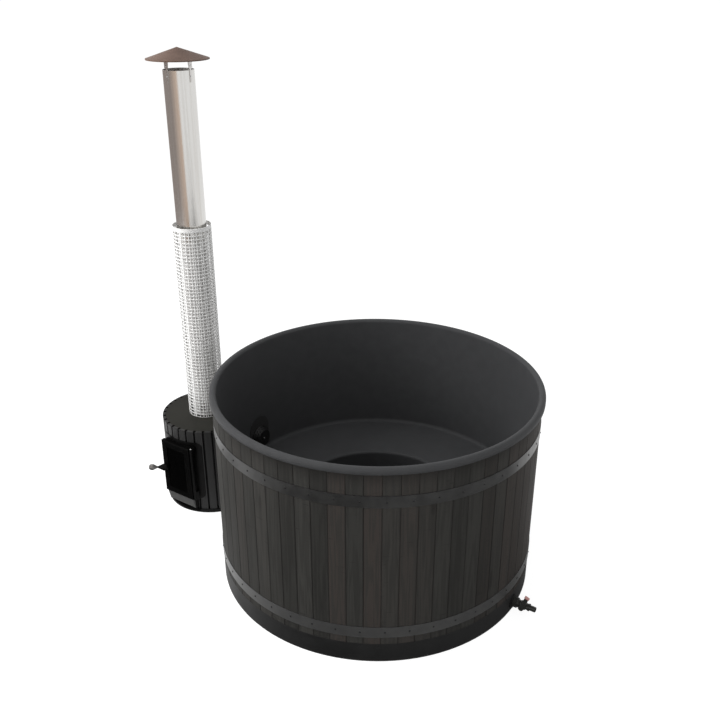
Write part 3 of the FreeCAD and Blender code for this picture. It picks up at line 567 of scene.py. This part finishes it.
STOVE_X = (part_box("stove_base")[0].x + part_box("stove_base")[1].x) / 2
FLUE_X = (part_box("lower_flue_pipe")[0].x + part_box("lower_flue_pipe")[1].x) / 2
FLUE_BORE = 75.75 * MM
STAVE_COUNT = 65
STAVE_SEAM = math.radians(-0.4)
SLAT_COUNT = 33
SLAT_SEAM = math.radians(10.0)


class Finish(Enum):
    """Every finish on the tub and its stove."""

    # the stained boards carry painted shade just under the rim
    CLADDING = Boards("stained_boards", (0.0245, 0.0238, 0.0220), (0.0388, 0.0378, 0.0346),
                      (0.0405, 0.0331, 0.0294), (0.013, 0.012, 0.011), STAVE_COUNT, STAVE_SEAM,
                      rim_shade_share=0.7)
    SLATS = Boards("stained_slats", grey(0.013), grey(0.022), (0.019, 0.019, 0.018), grey(0.010),
                   SLAT_COUNT, SLAT_SEAM, STOVE_X, 0.5, 0.3, 0.0004, 0.35)
    TIMBER = Boards("planed_timber", (0.30, 0.19, 0.10), (0.52, 0.37, 0.21), (0.45, 0.29, 0.15),
                    (0.14, 0.07, 0.03), 12, 0.0, 0.0, 0.65, 0.3)
    LINER = Coating("moulded_liner", (0.0517, 0.0526, 0.0548), (0.0577, 0.0586, 0.0608),
                    0.6, 0.1, 0.0, 0.18, 900.0)
    BASE = Coating("plinth_plastic", grey(0.011), grey(0.014), 0.55, 0.12, 0.0, 0.4, 500.0)
    BANDS = Coating("hoop_steel", (0.110, 0.110, 0.109), (0.130, 0.130, 0.128),
                    0.36, 0.12, 0.85, 0.4, 800.0)
    LOW_BAND = Coating("dull_hoop_steel", (0.115, 0.115, 0.114), (0.135, 0.135, 0.133),
                       0.36, 0.12, 0.62, 0.4, 800.0)
    SCREWS = Coating("dark_screws", grey(0.010), grey(0.020), 0.3, 0.1, 0.0, 0.4, 900.0)
    BRIGHT = Brushed("bright_screws", grey(0.62), grey(0.52), 0.2, 0.1)
    STAINLESS = Brushed("stainless_steel", (0.60, 0.585, 0.57), (0.54, 0.525, 0.51))
    KNOB = Brushed("knob_steel", (0.32, 0.315, 0.31), (0.25, 0.245, 0.24), 0.38, 0.12)
    FLUE = Brushed("flue_steel", (0.68, 0.675, 0.66), (0.60, 0.585, 0.56), 0.2, 0.1, dull_below=1.585,
                   axis_x=FLUE_X, bore=FLUE_BORE)
    DULL = Coating("heat_dulled_steel", (0.70, 0.69, 0.68), (0.62, 0.61, 0.60),
                   0.5, 0.16, 0.2, 0.4, 300.0)
    GUARD = Coating("punched_guard_steel", (0.86, 0.86, 0.85), (0.80, 0.80, 0.79),
                    0.45, 0.15, 0.15, 0.4, 400.0)
    # the cap is a plain brown all over
    CAP = Coating("heat_tinted_cap", (0.127, 0.080, 0.061), (0.104, 0.067, 0.053),
                  0.55, 0.2, 0.0, 0.2, 300.0)
    STOVE = Coating("stove_paint", grey(0.0022), (0.0032, 0.0031, 0.0030), 0.42, 0.2, 0.0, 0.12, 600.0)
    # black rubber of the slat spacers, with no shine, also a painted shadow of the gaps between the slats
    RUBBER = Coating("spacer_rubber", grey(0.0030), (0.0045, 0.0045, 0.0044), 0.9, 0.1, 0.0, 0.0, 700.0)
    DOOR = Coating("door_paint", grey(0.0022), (0.0032, 0.0031, 0.0030), 0.2, 0.08, 0.0, 0.04, 600.0)
    DRAWER = Coating("drawer_paint", (0.080, 0.080, 0.079), (0.095, 0.095, 0.093),
                     0.42, 0.15, 0.0, 0.35, 600.0)
    LID = Coating("lid_paint", (0.024, 0.0235, 0.0205), (0.029, 0.0285, 0.025), 0.6, 0.15, 0.0, 0.05, 500.0)
    SOOT = Coating("sooted_iron", (0.012, 0.011, 0.010), (0.030, 0.026, 0.023), 0.9, 0.1, 0.0, 0.2, 250.0,
                   0.0008, 0.6)
    GRATE = Coating("cast_grate", (0.020, 0.019, 0.018), (0.045, 0.036, 0.030), 0.75, 0.2, 0.4, 0.4, 300.0,
                    0.0008, 0.6)
    GLASS = SmokedGlass("smoked_door_glass", grey(0.0006), (0.0016, 0.0015, 0.0014))
    ROPE = WovenRope("woven_door_rope", (0.10, 0.10, 0.095), grey(0.03))
    FITTING = Coating("black_fitting", grey(0.008), grey(0.011), 0.45, 0.12, 0.0, 0.2)
    PLATE = Coating("outlet_plate_plastic", grey(0.030), grey(0.035), 0.5, 0.1, 0.0, 0.3)
    VALVE = Coating("black_valve", (0.020, 0.020, 0.018), (0.034, 0.034, 0.031), 0.3, 0.14, 0.1, 0.5)
    RED = Coating("red_lever_cap", (0.66, 0.34, 0.31), (0.70, 0.39, 0.36), 0.4, 0.1, 0.0, 0.5)

    def material(self) -> Material:
        """Gives the finish's material, and builds it the first time."""
        return bpy.data.materials.get(self.value.name) or self.value.build()


def dress(finish: Finish, *nodes: str) -> None:
    """Gives solids of the frame their finish.

    Args:
        finish: The finish.
        nodes: The solids' nodes.
    """
    for node in nodes:
        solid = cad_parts[node]
        solid.data.materials.clear()
        solid.data.materials.append(finish.material())
        LOG.info("%s: %s", node, finish.value.name)


# Mesh work

def leave_edit() -> None:
    """Goes back to object mode."""
    bpy.ops.object.mode_set(mode="OBJECT")


def clear_selection() -> None:
    """Leaves edit mode and deselects every object."""
    if bpy.context.object is not None and bpy.context.object.mode != "OBJECT":
        leave_edit()
    bpy.ops.object.select_all(action="DESELECT")


def work_on(piece: Piece) -> None:
    """Makes a piece the only selected object and the active one."""
    clear_selection()
    piece.select_set(True)
    bpy.context.view_layer.objects.active = piece


def edit(piece: Piece, mode: str = "VERT", action: str = "SELECT") -> None:
    """Opens a piece in edit mode with all or none of it selected.

    Args:
        piece: The piece.
        mode: VERT, EDGE or FACE.
        action: SELECT or DESELECT.
    """
    work_on(piece)
    bpy.ops.object.mode_set(mode="EDIT")
    bpy.ops.mesh.select_mode(type=mode)
    bpy.ops.mesh.select_all(action=action)


def select_parts(piece: Piece, mode: str, test: Callable[..., bool]) -> None:
    """Opens a piece in edit mode with some of its edges or faces selected.

    Args:
        piece: The piece.
        mode: EDGE or FACE.
        test: Tells from the corners of an edge or a face whether it is selected.
    """
    edit(piece, mode, "DESELECT")
    leave_edit()
    points = piece.data.vertices
    for part in piece.data.edges if mode == "EDGE" else piece.data.polygons:
        part.select = test(*(points[k].co for k in part.vertices))
    bpy.ops.object.mode_set(mode="EDIT")


def close_up(piece: Piece, smooth_angle: float = 35.0) -> None:
    """Merges doubles, turns the faces outwards and shades the piece.

    Args:
        piece: The piece.
        smooth_angle: Edges that turn by more than this stay sharp, in degrees.
    """
    edit(piece)
    bpy.ops.mesh.remove_doubles(threshold=1e-6)
    bpy.ops.mesh.normals_make_consistent(inside=False)
    leave_edit()
    bpy.ops.object.shade_smooth_by_angle(angle=math.radians(smooth_angle))


def apply_modifier(piece: Piece, kind: str, **settings: object) -> None:
    """Adds a modifier to a piece and applies it.

    Args:
        piece: The piece.
        kind: The modifier's type.
        settings: Its settings.
    """
    work_on(piece)
    modifier = piece.modifiers.new(kind.lower(), kind)
    for name, value in settings.items():
        setattr(modifier, name, value)
    bpy.ops.object.modifier_apply(modifier=modifier.name)


def settle(piece: Piece) -> None:
    """Puts a piece's place, turn and scale into its mesh."""
    work_on(piece)
    bpy.ops.object.transform_apply(location=True, rotation=True, scale=True)


def lathe(name: str, rings: Sequence[Span], sides: int) -> Piece:
    """Models a round piece about Z: a disc, drawn out from ring to ring.

    Args:
        name: The piece's name.
        rings: The radius and height of each ring. The first is a flat disc.
        sides: How many sides a ring has.

    Returns:
        The piece, still open at its last ring.
    """
    clear_selection()
    radius, height = rings[0]
    bpy.ops.mesh.primitive_circle_add(vertices=sides, radius=radius, fill_type="NGON",
                                      location=(0, 0, height))
    piece = bpy.context.object
    piece.name = name
    settle(piece)
    edit(piece, "EDGE")
    bpy.ops.mesh.inset(thickness=radius / 2)
    bpy.ops.mesh.select_all(action="SELECT")
    bpy.ops.mesh.region_to_loop()
    for next_radius, next_height in rings[1:]:
        bpy.ops.mesh.extrude_edges_move()
        share = next_radius / radius
        bpy.ops.transform.resize(value=(share, share, 1.0), center_override=(0, 0, height))
        bpy.ops.transform.translate(value=(0, 0, next_height - height))
        radius, height = next_radius, next_height
    leave_edit()
    return piece


def arc(center: Span, radius: float, start: float, end: float, steps: int) -> list[Span]:
    """Gives the points of an arc, in a plane of radius and height, from start to end in degrees."""
    turns = [math.radians(start + (end - start) * k / steps) for k in range(steps + 1)]
    return [(center[0] + radius * math.cos(t), center[1] + radius * math.sin(t)) for t in turns]


def set_copies(name: str, first: Piece, spots: Sequence[tuple[float, Point]]) -> Piece:
    """Sets copies of a piece at several spots and joins them into one object.

    Args:
        name: The joined piece's name.
        first: The piece to copy, which is then removed.
        spots: Each copy's turn about Z and its place.

    Returns:
        The joined piece.
    """
    copies = []
    for turn, place in spots:
        twin = first.copy()
        twin.data = first.data.copy()
        bpy.context.scene.collection.objects.link(twin)
        twin.rotation_euler = (0, 0, turn)
        twin.location = place
        settle(twin)
        copies.append(twin)
    bpy.data.objects.remove(first)
    work_on(copies[0])
    for twin in copies:
        twin.select_set(True)
    bpy.ops.object.join()
    joined = bpy.context.object
    joined.name = name
    settle(joined)
    return joined


def present(piece: Piece, finish: Finish, slot: str, body: str, *nodes: str) -> None:
    """Dresses a new piece and hangs it on its body.

    Args:
        piece: The piece.
        finish: Its finish.
        slot: The record's material slot; not used.
        body: The body it rides on.
        nodes: The solids it stands for.
    """
    piece.data.materials.clear()
    piece.data.materials.append(finish.material())
    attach(piece, body)
    if nodes:
        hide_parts(*nodes)
    LOG.info("%s: %s, %d faces", piece.name, finish.value.name, len(piece.data.polygons))


# Sub-assemblies

@dataclass
class TubShell:
    """The moulded liner, the base and the timber between them."""

    wall: float = 5 * MM
    rim_roll: float = 17 * MM
    well_radius: float = 410 * MM
    well_fillet: float = 30 * MM
    bench_height: float = 370 * MM
    bench_nose: float = 15 * MM
    bench_fillet: float = 22 * MM
    well_floor: float = 120 * MM
    lip_bottom: float = 984 * MM
    sides: int = 192
    fillet_steps: int = 8
    rim_steps: int = 24
    smooth_angle: float = 60.0

    def rings(self) -> list[Span]:
        """Gives the liner's inner face from the well's floor over the rim to the lip's lower edge.

        Returns:
            The radius and height of each ring.
        """
        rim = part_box("tub_liner")[1]
        crest_z = rim.z - self.rim_roll
        crest_r = rim.x - self.rim_roll
        wall_r = crest_r - self.rim_roll
        foot = (self.well_radius - self.well_fillet, self.well_floor + self.well_fillet)
        nose = (self.well_radius + self.bench_nose, self.bench_height - self.bench_nose)
        heel = (wall_r - self.bench_fillet, self.bench_height + self.bench_fillet)
        return (arc(foot, self.well_fillet, -90, 0, self.fillet_steps)
                + arc(nose, self.bench_nose, 180, 90, self.fillet_steps)
                + arc(heel, self.bench_fillet, -90, 0, self.fillet_steps)
                + arc((crest_r, crest_z), self.rim_roll, 180, 0, self.rim_steps)
                + [(rim.x, self.lip_bottom)])

    def build_liner(self) -> None:
        """Models the liner as one moulded sheet with a rolled rim."""
        liner = lathe("moulded_liner", self.rings(), self.sides)
        close_up(liner, self.smooth_angle)
        if min(liner.data.polygons, key=lambda face: face.center.z).normal.z < 0:
            edit(liner)
            bpy.ops.mesh.flip_normals()
            leave_edit()
        apply_modifier(liner, "SOLIDIFY", thickness=self.wall, offset=-1.0, use_even_offset=True)
        present(liner, Finish.LINER, "liner", ROOT_BODY, "tub_liner")

    def build(self) -> None:
        """Builds the shell and dresses what stays as it is."""
        self.build_liner()
        dress(Finish.BASE, "base_tray")
        dress(Finish.TIMBER, "floor_joists", "bench_ribs")


@dataclass
class Cladding:
    """The wall's staves, the steel bands round them and the bands' screws."""

    stave_thick: float = 15 * MM
    stave_steps: int = 4
    seam: float = 0.7 * MM
    edge: float = 1.6 * MM
    edge_margin: float = 0.02
    upright: float = 100 * MM
    smooth_angle: float = 30.0
    unevenness: float = 0.5 * MM
    screw_count: int = 45
    screw_angle: float = math.radians(1.6)
    head_radius: float = 4.6 * MM
    head_height: float = 2.4 * MM
    socket_radius: float = 1.9 * MM
    head_sides: int = 12
    dome_turns: tuple[float, ...] = (0.0, 0.5, 0.95)
    shoulder_share: float = 0.4
    socket_share: float = 0.6
    hole_radius: float = 32 * MM
    hole_sides: int = 48
    drill_length: float = 100 * MM
    seed: int = 11

    def model_stave(self) -> Piece:
        """Models one stave at the first seam: a flat section, spun about the tub's axis.

        Returns:
            The stave.
        """
        low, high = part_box("wall_staves")
        outer = high.x
        inner = outer - self.stave_thick
        pitch = math.tau / STAVE_COUNT
        gap = self.seam / outer
        clear_selection()
        bpy.ops.mesh.primitive_plane_add(size=1.0, location=((inner + outer) / 2, 0, (low.z + high.z) / 2),
                                         rotation=(math.pi / 2, 0, 0))
        stave = bpy.context.object
        stave.scale = (outer - inner, high.z - low.z, 1.0)
        settle(stave)
        edit(stave)
        bpy.ops.mesh.spin(steps=self.stave_steps, angle=pitch - gap, center=(0, 0, 0), axis=(0, 0, 1))
        close_up(stave)
        select_parts(stave, "EDGE", lambda a, b: abs(a.z - b.z) > self.upright
                     and math.hypot(a.x, a.y) > outer - MM and not self.inside(a, pitch - gap))
        bpy.ops.mesh.bevel(offset=self.edge, segments=3)
        leave_edit()
        bpy.ops.object.shade_smooth_by_angle(angle=math.radians(self.smooth_angle))
        return stave

    def inside(self, point: Vector, turn: float) -> bool:
        """Tells whether a point of the stave's face lies away from both its edges."""
        angle = abs(math.atan2(point.y, point.x))
        return self.edge_margin * turn < angle < (1 - self.edge_margin) * turn

    def build_staves(self) -> None:
        """Copies the stave round the tub, each set in a little, and drills the wall for the pipes."""
        draw = random.Random(self.seed)
        spots = []
        for k in range(STAVE_COUNT):
            turn = STAVE_SEAM + (k * math.tau / STAVE_COUNT)
            sink = -draw.uniform(0.0, self.unevenness)
            middle = turn + math.pi / STAVE_COUNT
            spots.append((turn, (sink * math.cos(middle), sink * math.sin(middle), 0)))
        wall = set_copies("stained_staves", self.model_stave(), spots)
        for node in ("hot_water_pipe", "cold_water_pipe"):
            self.drill(wall, node)
        present(wall, Finish.CLADDING, "cladding", ROOT_BODY, "wall_staves", "drilled_stave")

    def drill(self, wall: Piece, node: str) -> None:
        """Cuts a pipe's hole through the staves.

        Args:
            wall: The joined staves.
            node: The pipe.
        """
        low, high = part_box(node)
        clear_selection()
        bpy.ops.mesh.primitive_cylinder_add(vertices=self.hole_sides, radius=self.hole_radius,
                                            depth=self.drill_length,
                                            location=(-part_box("wall_staves")[1].x, 0, (low.z + high.z) / 2),
                                            rotation=(0, math.pi / 2, 0))
        drill = bpy.context.object
        settle(drill)
        apply_modifier(wall, "BOOLEAN", operation="DIFFERENCE", object=drill, solver="EXACT")
        bpy.data.objects.remove(drill)

    def model_screw(self) -> Piece:
        """Models one screw head on X: a dome with a socket for the key.

        Returns:
            The screw head, with its seat at the origin.
        """
        shoulder = self.head_height * self.shoulder_share
        dome = [(self.head_radius * math.cos(t), shoulder + (self.head_height - shoulder) * math.sin(t))
                for t in self.dome_turns]
        rings = [(self.head_radius, 0.0)] + dome + [(self.socket_radius, self.head_height)]
        head = lathe("band_screw", rings, self.head_sides)
        edit(head, "EDGE", "DESELECT")
        bpy.ops.mesh.select_non_manifold()
        sink = (0, 0, -self.head_height * self.socket_share)
        bpy.ops.mesh.extrude_edges_move(TRANSFORM_OT_translate={"value": sink})
        bpy.ops.mesh.fill()
        close_up(head)
        head.rotation_euler = (0, math.pi / 2, 0)
        settle(head)
        return head

    def build_screws(self) -> None:
        """Sets a screw at every hole of the two bands."""
        spots = []
        for band in ("lower_band", "upper_band"):
            low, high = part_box(band)
            for k in range(self.screw_count):
                turn = self.screw_angle + k * math.tau / self.screw_count
                seat = (high.x * math.cos(turn), high.x * math.sin(turn), (low.z + high.z) / 2)
                spots.append((turn, seat))
        heads = set_copies("band_screw_heads", self.model_screw(), spots)
        present(heads, Finish.SCREWS, "dark_steel", ROOT_BODY, "band_screws")

    def build(self) -> None:
        """Builds the staves and screws and dresses the bands."""
        self.build_staves()
        self.build_screws()
        dress(Finish.BANDS, "upper_band")
        dress(Finish.LOW_BAND, "lower_band")


@dataclass
class WaterFittings:
    """Pipes, nuts, covers and the drain with its valve."""

    def build(self) -> None:
        """Dresses the fittings."""
        dress(Finish.PLATE, "outlet_plate")
        dress(Finish.FITTING, "outlet_cover", "cover_bridge", "intake_grille", "drain_rosette")
        dress(Finish.BRIGHT, "outlet_cover_screw")
        dress(Finish.STAINLESS, "hot_water_pipe", "cold_water_pipe", "pipe_lock_nuts", "floor_drain",
              "drain_strainer", "drain_pipe", "valve_ball")
        dress(Finish.VALVE, "drain_union_nut", "valve_body", "valve_stem", "valve_lever", "hose_tail")
        dress(Finish.RED, "lever_cap")


@dataclass
class Stove:
    """The stove's jacket, fire, door, latch and ash drawer."""

    spacer_width: float = 6.4 * MM
    spacer_depth: float = 10 * MM
    spacer_height: float = 22 * MM
    spacer_head: float = 13 * MM
    head_shift: float = 4 * MM
    head_thick: float = 1.2 * MM
    spacer_edge: float = 0.4 * MM
    slat_thick: float = 14 * MM

    def build_spacers(self) -> None:
        """Models the rubber spacer that keeps two slats apart at the lid, and sets one in every gap; its
        black head, with no shine, is also a painted shadow of the dark gap between the slats.
        """
        low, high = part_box("stove_slats")
        middle = (high.x - low.x) / 2 - self.slat_thick / 2
        waist = high.z - self.spacer_height / 2
        clear_selection()
        bpy.ops.mesh.primitive_cube_add(size=1.0, location=(middle, 0, waist))
        first = bpy.context.object
        first.scale = (self.spacer_depth, self.spacer_width, self.spacer_height)
        settle(first)
        select_parts(first, "FACE", lambda *corners: min(corner.z for corner in corners) > waist)
        bpy.ops.mesh.extrude_region_move(TRANSFORM_OT_translate={"value": (0, 0, 0)})
        grown = (self.spacer_head / self.spacer_depth, self.spacer_head / self.spacer_width, 1)
        bpy.ops.transform.resize(value=grown, center_override=(middle, 0, high.z))
        bpy.ops.transform.translate(value=(-self.head_shift, 0, 0))
        bpy.ops.mesh.extrude_region_move(TRANSFORM_OT_translate={"value": (0, 0, self.head_thick)})
        select_parts(first, "EDGE", lambda a, b: min(a.z, b.z) > waist
                     and max(a.z, b.z) > high.z + self.head_thick / 2)
        bpy.ops.mesh.bevel(offset=self.spacer_edge, segments=2)
        close_up(first)
        spots = [(SLAT_SEAM + k * math.tau / SLAT_COUNT, (STOVE_X, 0, 0)) for k in range(SLAT_COUNT)]
        present(set_copies("slat_spacers", first, spots), Finish.RUBBER, "stove_black", ROOT_BODY)

    def build(self) -> None:
        """Builds the spacers and dresses the stove."""
        self.build_spacers()
        dress(Finish.STOVE, "stove_base", "water_jacket", "door_throat", "throat_trim", "slat_hoops",
              "glass_retainer", "door_hinge_barrel", "hinge_knuckles", "latch_spindle", "latch_lever",
              "latch_tongue", "latch_catch")
        dress(Finish.SOOT, "firebox", "ash_drawer_tray")
        dress(Finish.GRATE, "fire_grate")
        dress(Finish.SLATS, "stove_slats")
        dress(Finish.LID, "stove_lid")
        dress(Finish.DOOR, "door_frame")
        dress(Finish.GLASS, "door_glass")
        dress(Finish.ROPE, "door_gasket")
        dress(Finish.BRIGHT, "hinge_pin")
        dress(Finish.KNOB, "latch_knob")
        dress(Finish.DRAWER, "ash_drawer_front")


@dataclass
class Flue:
    """The flue pipes, the perforated guard round the lower one, and the rain cap."""

    columns: int = 42
    fields: int = 3
    row_pitch: float = 18.8 * MM
    hole_height: float = 13.0 * MM
    top_edge: float = 19 * MM
    sheet: float = 1.5 * MM

    def build_guard(self) -> None:
        """Models the guard: a sheet rolled into a tube and scored into fields, with holes between webs."""
        low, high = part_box("heat_guard")
        radius = (high.x - low.x) / 2
        rows = math.floor((high.z - low.z) / self.row_pitch)
        step = (high.z - low.z) / rows
        web = step - self.hole_height
        sides = self.fields * self.columns
        clear_selection()
        bpy.ops.mesh.primitive_cylinder_add(vertices=sides, radius=radius, depth=high.z - low.z,
                                            end_fill_type="NOTHING",
                                            location=(FLUE_X, 0, (low.z + high.z) / 2))
        guard = bpy.context.object
        guard.name = "perforated_guard"
        settle(guard)
        for row in range(rows):
            foot = low.z + row * step + web / 2
            for level in (foot, foot + self.hole_height):
                edit(guard)
                bpy.ops.mesh.bisect(plane_co=(0, 0, level), plane_no=(0, 0, 1))
        field = math.tau / sides

        def is_hole(*corners: Vector) -> bool:
            """Tells whether a field of the sheet is punched out.

            Args:
                corners: The field's corners.

            Returns:
                True where it is.
            """
            center = sum(corners, Vector()) / len(corners)
            turn = math.atan2(center.y, center.x - FLUE_X)
            rise = (center.z - low.z) % step
            return (math.floor(turn / field) % self.fields > 0 and web / 2 < rise < step - web / 2
                    and center.z < high.z - self.top_edge)

        select_parts(guard, "FACE", is_hole)
        bpy.ops.mesh.delete(type="FACE")
        close_up(guard)
        apply_modifier(guard, "SOLIDIFY", thickness=self.sheet, offset=-1.0)
        present(guard, Finish.GUARD, "guard_steel", ROOT_BODY, "heat_guard")

    def build(self) -> None:
        """Builds the guard and dresses the pipes and the cap."""
        self.build_guard()
        dress(Finish.STOVE, "flue_collar")
        dress(Finish.DULL, "lower_flue_pipe")
        dress(Finish.FLUE, "upper_flue_pipe")
        dress(Finish.STAINLESS, "guard_spacers", "cap_legs")
        dress(Finish.CAP, "rain_cap")
        dress(Finish.BRIGHT, "cap_screws")


# Studio

CAMERA_TURN = 33.559
FLAG_LIFT = 0.004


def hide_from(piece: Piece, *kinds: str) -> None:
    """Hides a piece from some kinds of rays."""
    for kind in kinds:
        setattr(piece, "visible_" + kind, False)


@dataclass(frozen=True)
class Lamp:
    """A soft square lamp that no mirror shows."""

    name: str
    place: Point
    aim: Point
    size: float
    power: float

    def hang(self) -> None:
        """Hangs the lamp and turns it to its aim."""
        data = bpy.data.lights.new(self.name, "AREA")
        data.size = self.size
        data.energy = self.power
        lamp = bpy.data.objects.new(self.name, data)
        hide_from(lamp, "glossy")
        lamp.location = self.place
        sight = Vector(self.aim) - Vector(self.place)
        lamp.rotation_euler = sight.to_track_quat("-Z", "Y").to_euler()
        bpy.context.scene.collection.objects.link(lamp)


@dataclass(frozen=True)
class Flag:
    """A dark flag on the floor, placed by the middle of its back edge, where it fades to white: a painted
    reflection, a glowing sheet that only glossy rays see.
    """

    name: str
    place: Point
    turn: float
    width: float
    depth: float
    fade: float
    sag: float = 0.0
    dark: Color = grey(0.01)
    pale: Color = grey(0.13)
    bow: Span = (-0.7, 0.5)

    def lay(self) -> None:
        """Lays the flag, seen only where dark gloss mirrors it, its left further forward by its sag."""
        clear_selection()
        bpy.ops.mesh.primitive_plane_add(size=1.0, location=(0, -self.depth / 2, 0))
        flag = bpy.context.object
        flag.name = self.name
        flag.scale = (self.width, self.depth, 1.0)
        settle(flag)
        flag.rotation_euler = (0, 0, math.radians(self.turn))
        flag.location = self.place
        hide_from(flag, "camera", "diffuse", "transmission", "shadow")
        material, bench = new_material(self.name)
        split = bench.split(bench.place())
        right = bench.spread(split["X"], *self.bow)
        bow = bench.math("MULTIPLY", bench.math("SUBTRACT", right, 1.0), self.sag)
        back = bench.spread(bench.math("SUBTRACT", split["Y"], bow), -self.fade, 0.0)
        cloth = bench.blend(right, self.dark, self.pale)
        # painted reflection: dark to pale across the flag, fading to white at its back edge
        bench.emit(bench.blend(back, cloth, WHITE))
        flag.data.materials.append(material)


@dataclass
class Studio:
    """The floor, the light and the camera."""

    camera_place: Point = (1.9725, -3.1202, 2.8257)
    camera_tilt: float = 65.193
    lens: float = 42.7665
    sensor: float = 36.0
    floor_size: float = 400.0
    floor_color: Color = grey(0.8)
    glow: float = 0.9
    veil: float = 0.3
    world_level: float = 0.44
    screen_radius: float = 2.2
    screen_low: float = 0.9
    screen_high: float = 2.7
    screen_turns: Span = (-215.0, -60.0)
    screen_dark: Color = (0.36, 0.315, 0.295)
    screen_light: Color = (0.74, 0.59, 0.49)
    screen_fade: float = 0.42
    screen_steps: int = 48
    flags: tuple[Flag, ...] = (
        Flag("tub_flag", (-0.266, 0.40, FLAG_LIFT), CAMERA_TURN, width=6.0, depth=5.0, fade=0.9, sag=0.55),
        Flag("stove_flag", (-1.42, -0.1, 2 * FLAG_LIFT), 0.0, width=0.8, depth=0.85, fade=0.15),
    )
    lamps: tuple[Lamp, ...] = (
        Lamp("left_lamp", (-3.6, -2.4, 3.2), (0.2, 0.0, 0.6), size=2.6, power=202.0),
        Lamp("top_lamp", (-1.0, -0.5, 5.0), (0.1, 0.0, 0.4), size=3.0, power=42.0),
        Lamp("front_lamp", (2.4, -3.6, 2.0), (-0.4, 0.0, 0.8), size=2.0, power=33.0),
    )

    def build_camera(self) -> None:
        """Sets the camera at the picture's viewpoint."""
        data = bpy.data.cameras.new("camera")
        data.sensor_width = self.sensor
        data.lens = self.lens
        camera = bpy.data.objects.new("camera", data)
        camera.location = self.camera_place
        camera.rotation_euler = (math.radians(self.camera_tilt), 0.0, math.radians(CAMERA_TURN))
        bpy.context.scene.collection.objects.link(camera)
        bpy.context.scene.camera = camera

    def build_floor(self) -> None:
        """Lays a pale floor that shows white and keeps the object's shadow."""
        clear_selection()
        bpy.ops.mesh.primitive_plane_add(size=self.floor_size, location=(0, 0, 0))
        floor = bpy.context.object
        floor.name = "studio_floor"
        material, bench = new_material("pale_floor")
        plain = bench.add("ShaderNodeBsdfDiffuse", ("Color", rgba(self.floor_color)))
        veil = bench.add("ShaderNodeBsdfDiffuse", ("Color", rgba(grey(self.veil))))
        light = bench.add("ShaderNodeEmission", ("Strength", self.glow))
        shown = bench.add("ShaderNodeAddShader", (0, veil.outputs[0]), (1, light.outputs[0]))
        bench.show(bench.add("ShaderNodeMixShader", (0, bench.seen()), (1, plain.outputs[0]),
                             (2, shown.outputs[0])))
        floor.data.materials.append(material)

    def build_world(self) -> None:
        """Lights the room evenly, and shows it white."""
        world = bpy.data.worlds.new("studio")
        bpy.context.scene.world = world
        world.use_nodes = True
        bench = NodeBench(world.node_tree)
        level = bench.spread(bench.seen(), 0.0, 1.0, self.world_level, 1.0)
        sky = bench.add("ShaderNodeBackground", ("Color", rgba(WHITE)), ("Strength", level))
        bench.show(sky, "ShaderNodeOutputWorld")

    def build_screen(self) -> None:
        """Stands a warm screen round the left of the flue, seen only where metal mirrors it: a painted
        reflection that glows but lights nothing.
        """
        first, last = (math.radians(turn) for turn in self.screen_turns)
        clear_selection()
        bpy.ops.mesh.primitive_plane_add(size=1.0, location=(self.screen_radius, 0, 0))
        screen = bpy.context.object
        screen.name = "studio_screen"
        settle(screen)
        edit(screen)
        bpy.ops.mesh.merge(type="CENTER")
        bpy.ops.transform.translate(value=(0, 0, self.screen_low))
        bpy.ops.mesh.extrude_vertices_move(
            TRANSFORM_OT_translate={"value": (0, 0, self.screen_high - self.screen_low)})
        bpy.ops.mesh.select_all(action="SELECT")
        bpy.ops.mesh.spin(steps=self.screen_steps, angle=last - first, center=(0, 0, 0), axis=(0, 0, 1))
        leave_edit()
        screen.rotation_euler = (0, 0, last)
        screen.location = (FLUE_X, 0, 0)
        hide_from(screen, "camera", "diffuse", "shadow")
        material, bench = new_material("warm_screen")
        split = bench.split(bench.place())
        turn = bench.math("ARCTAN2", split["Y"], split["X"])
        share = bench.spread(bench.math("ABSOLUTE", turn), 0.0, self.screen_fade * (last - first))
        # painted reflection: warm and light at one end of the screen, darker towards the other
        bench.emit(bench.blend(share, self.screen_light, self.screen_dark))
        screen.data.materials.append(material)

    def build(self) -> None:
        """Builds the studio."""
        bpy.context.scene.view_settings.view_transform = "Standard"
        self.build_camera()
        self.build_floor()
        self.build_world()
        self.build_screen()
        for flag in self.flags:
            flag.lay()
        for lamp in self.lamps:
            lamp.hang()


def main() -> None:
    """Builds the studio and every sub-assembly in order."""
    logging.basicConfig(level=logging.INFO, format="%(message)s")
    clear_selection()
    for part in (Studio(), TubShell(), Cladding(), WaterFittings(), Stove(), Flue()):
        part.build()


if __name__ == "__main__":
    main()
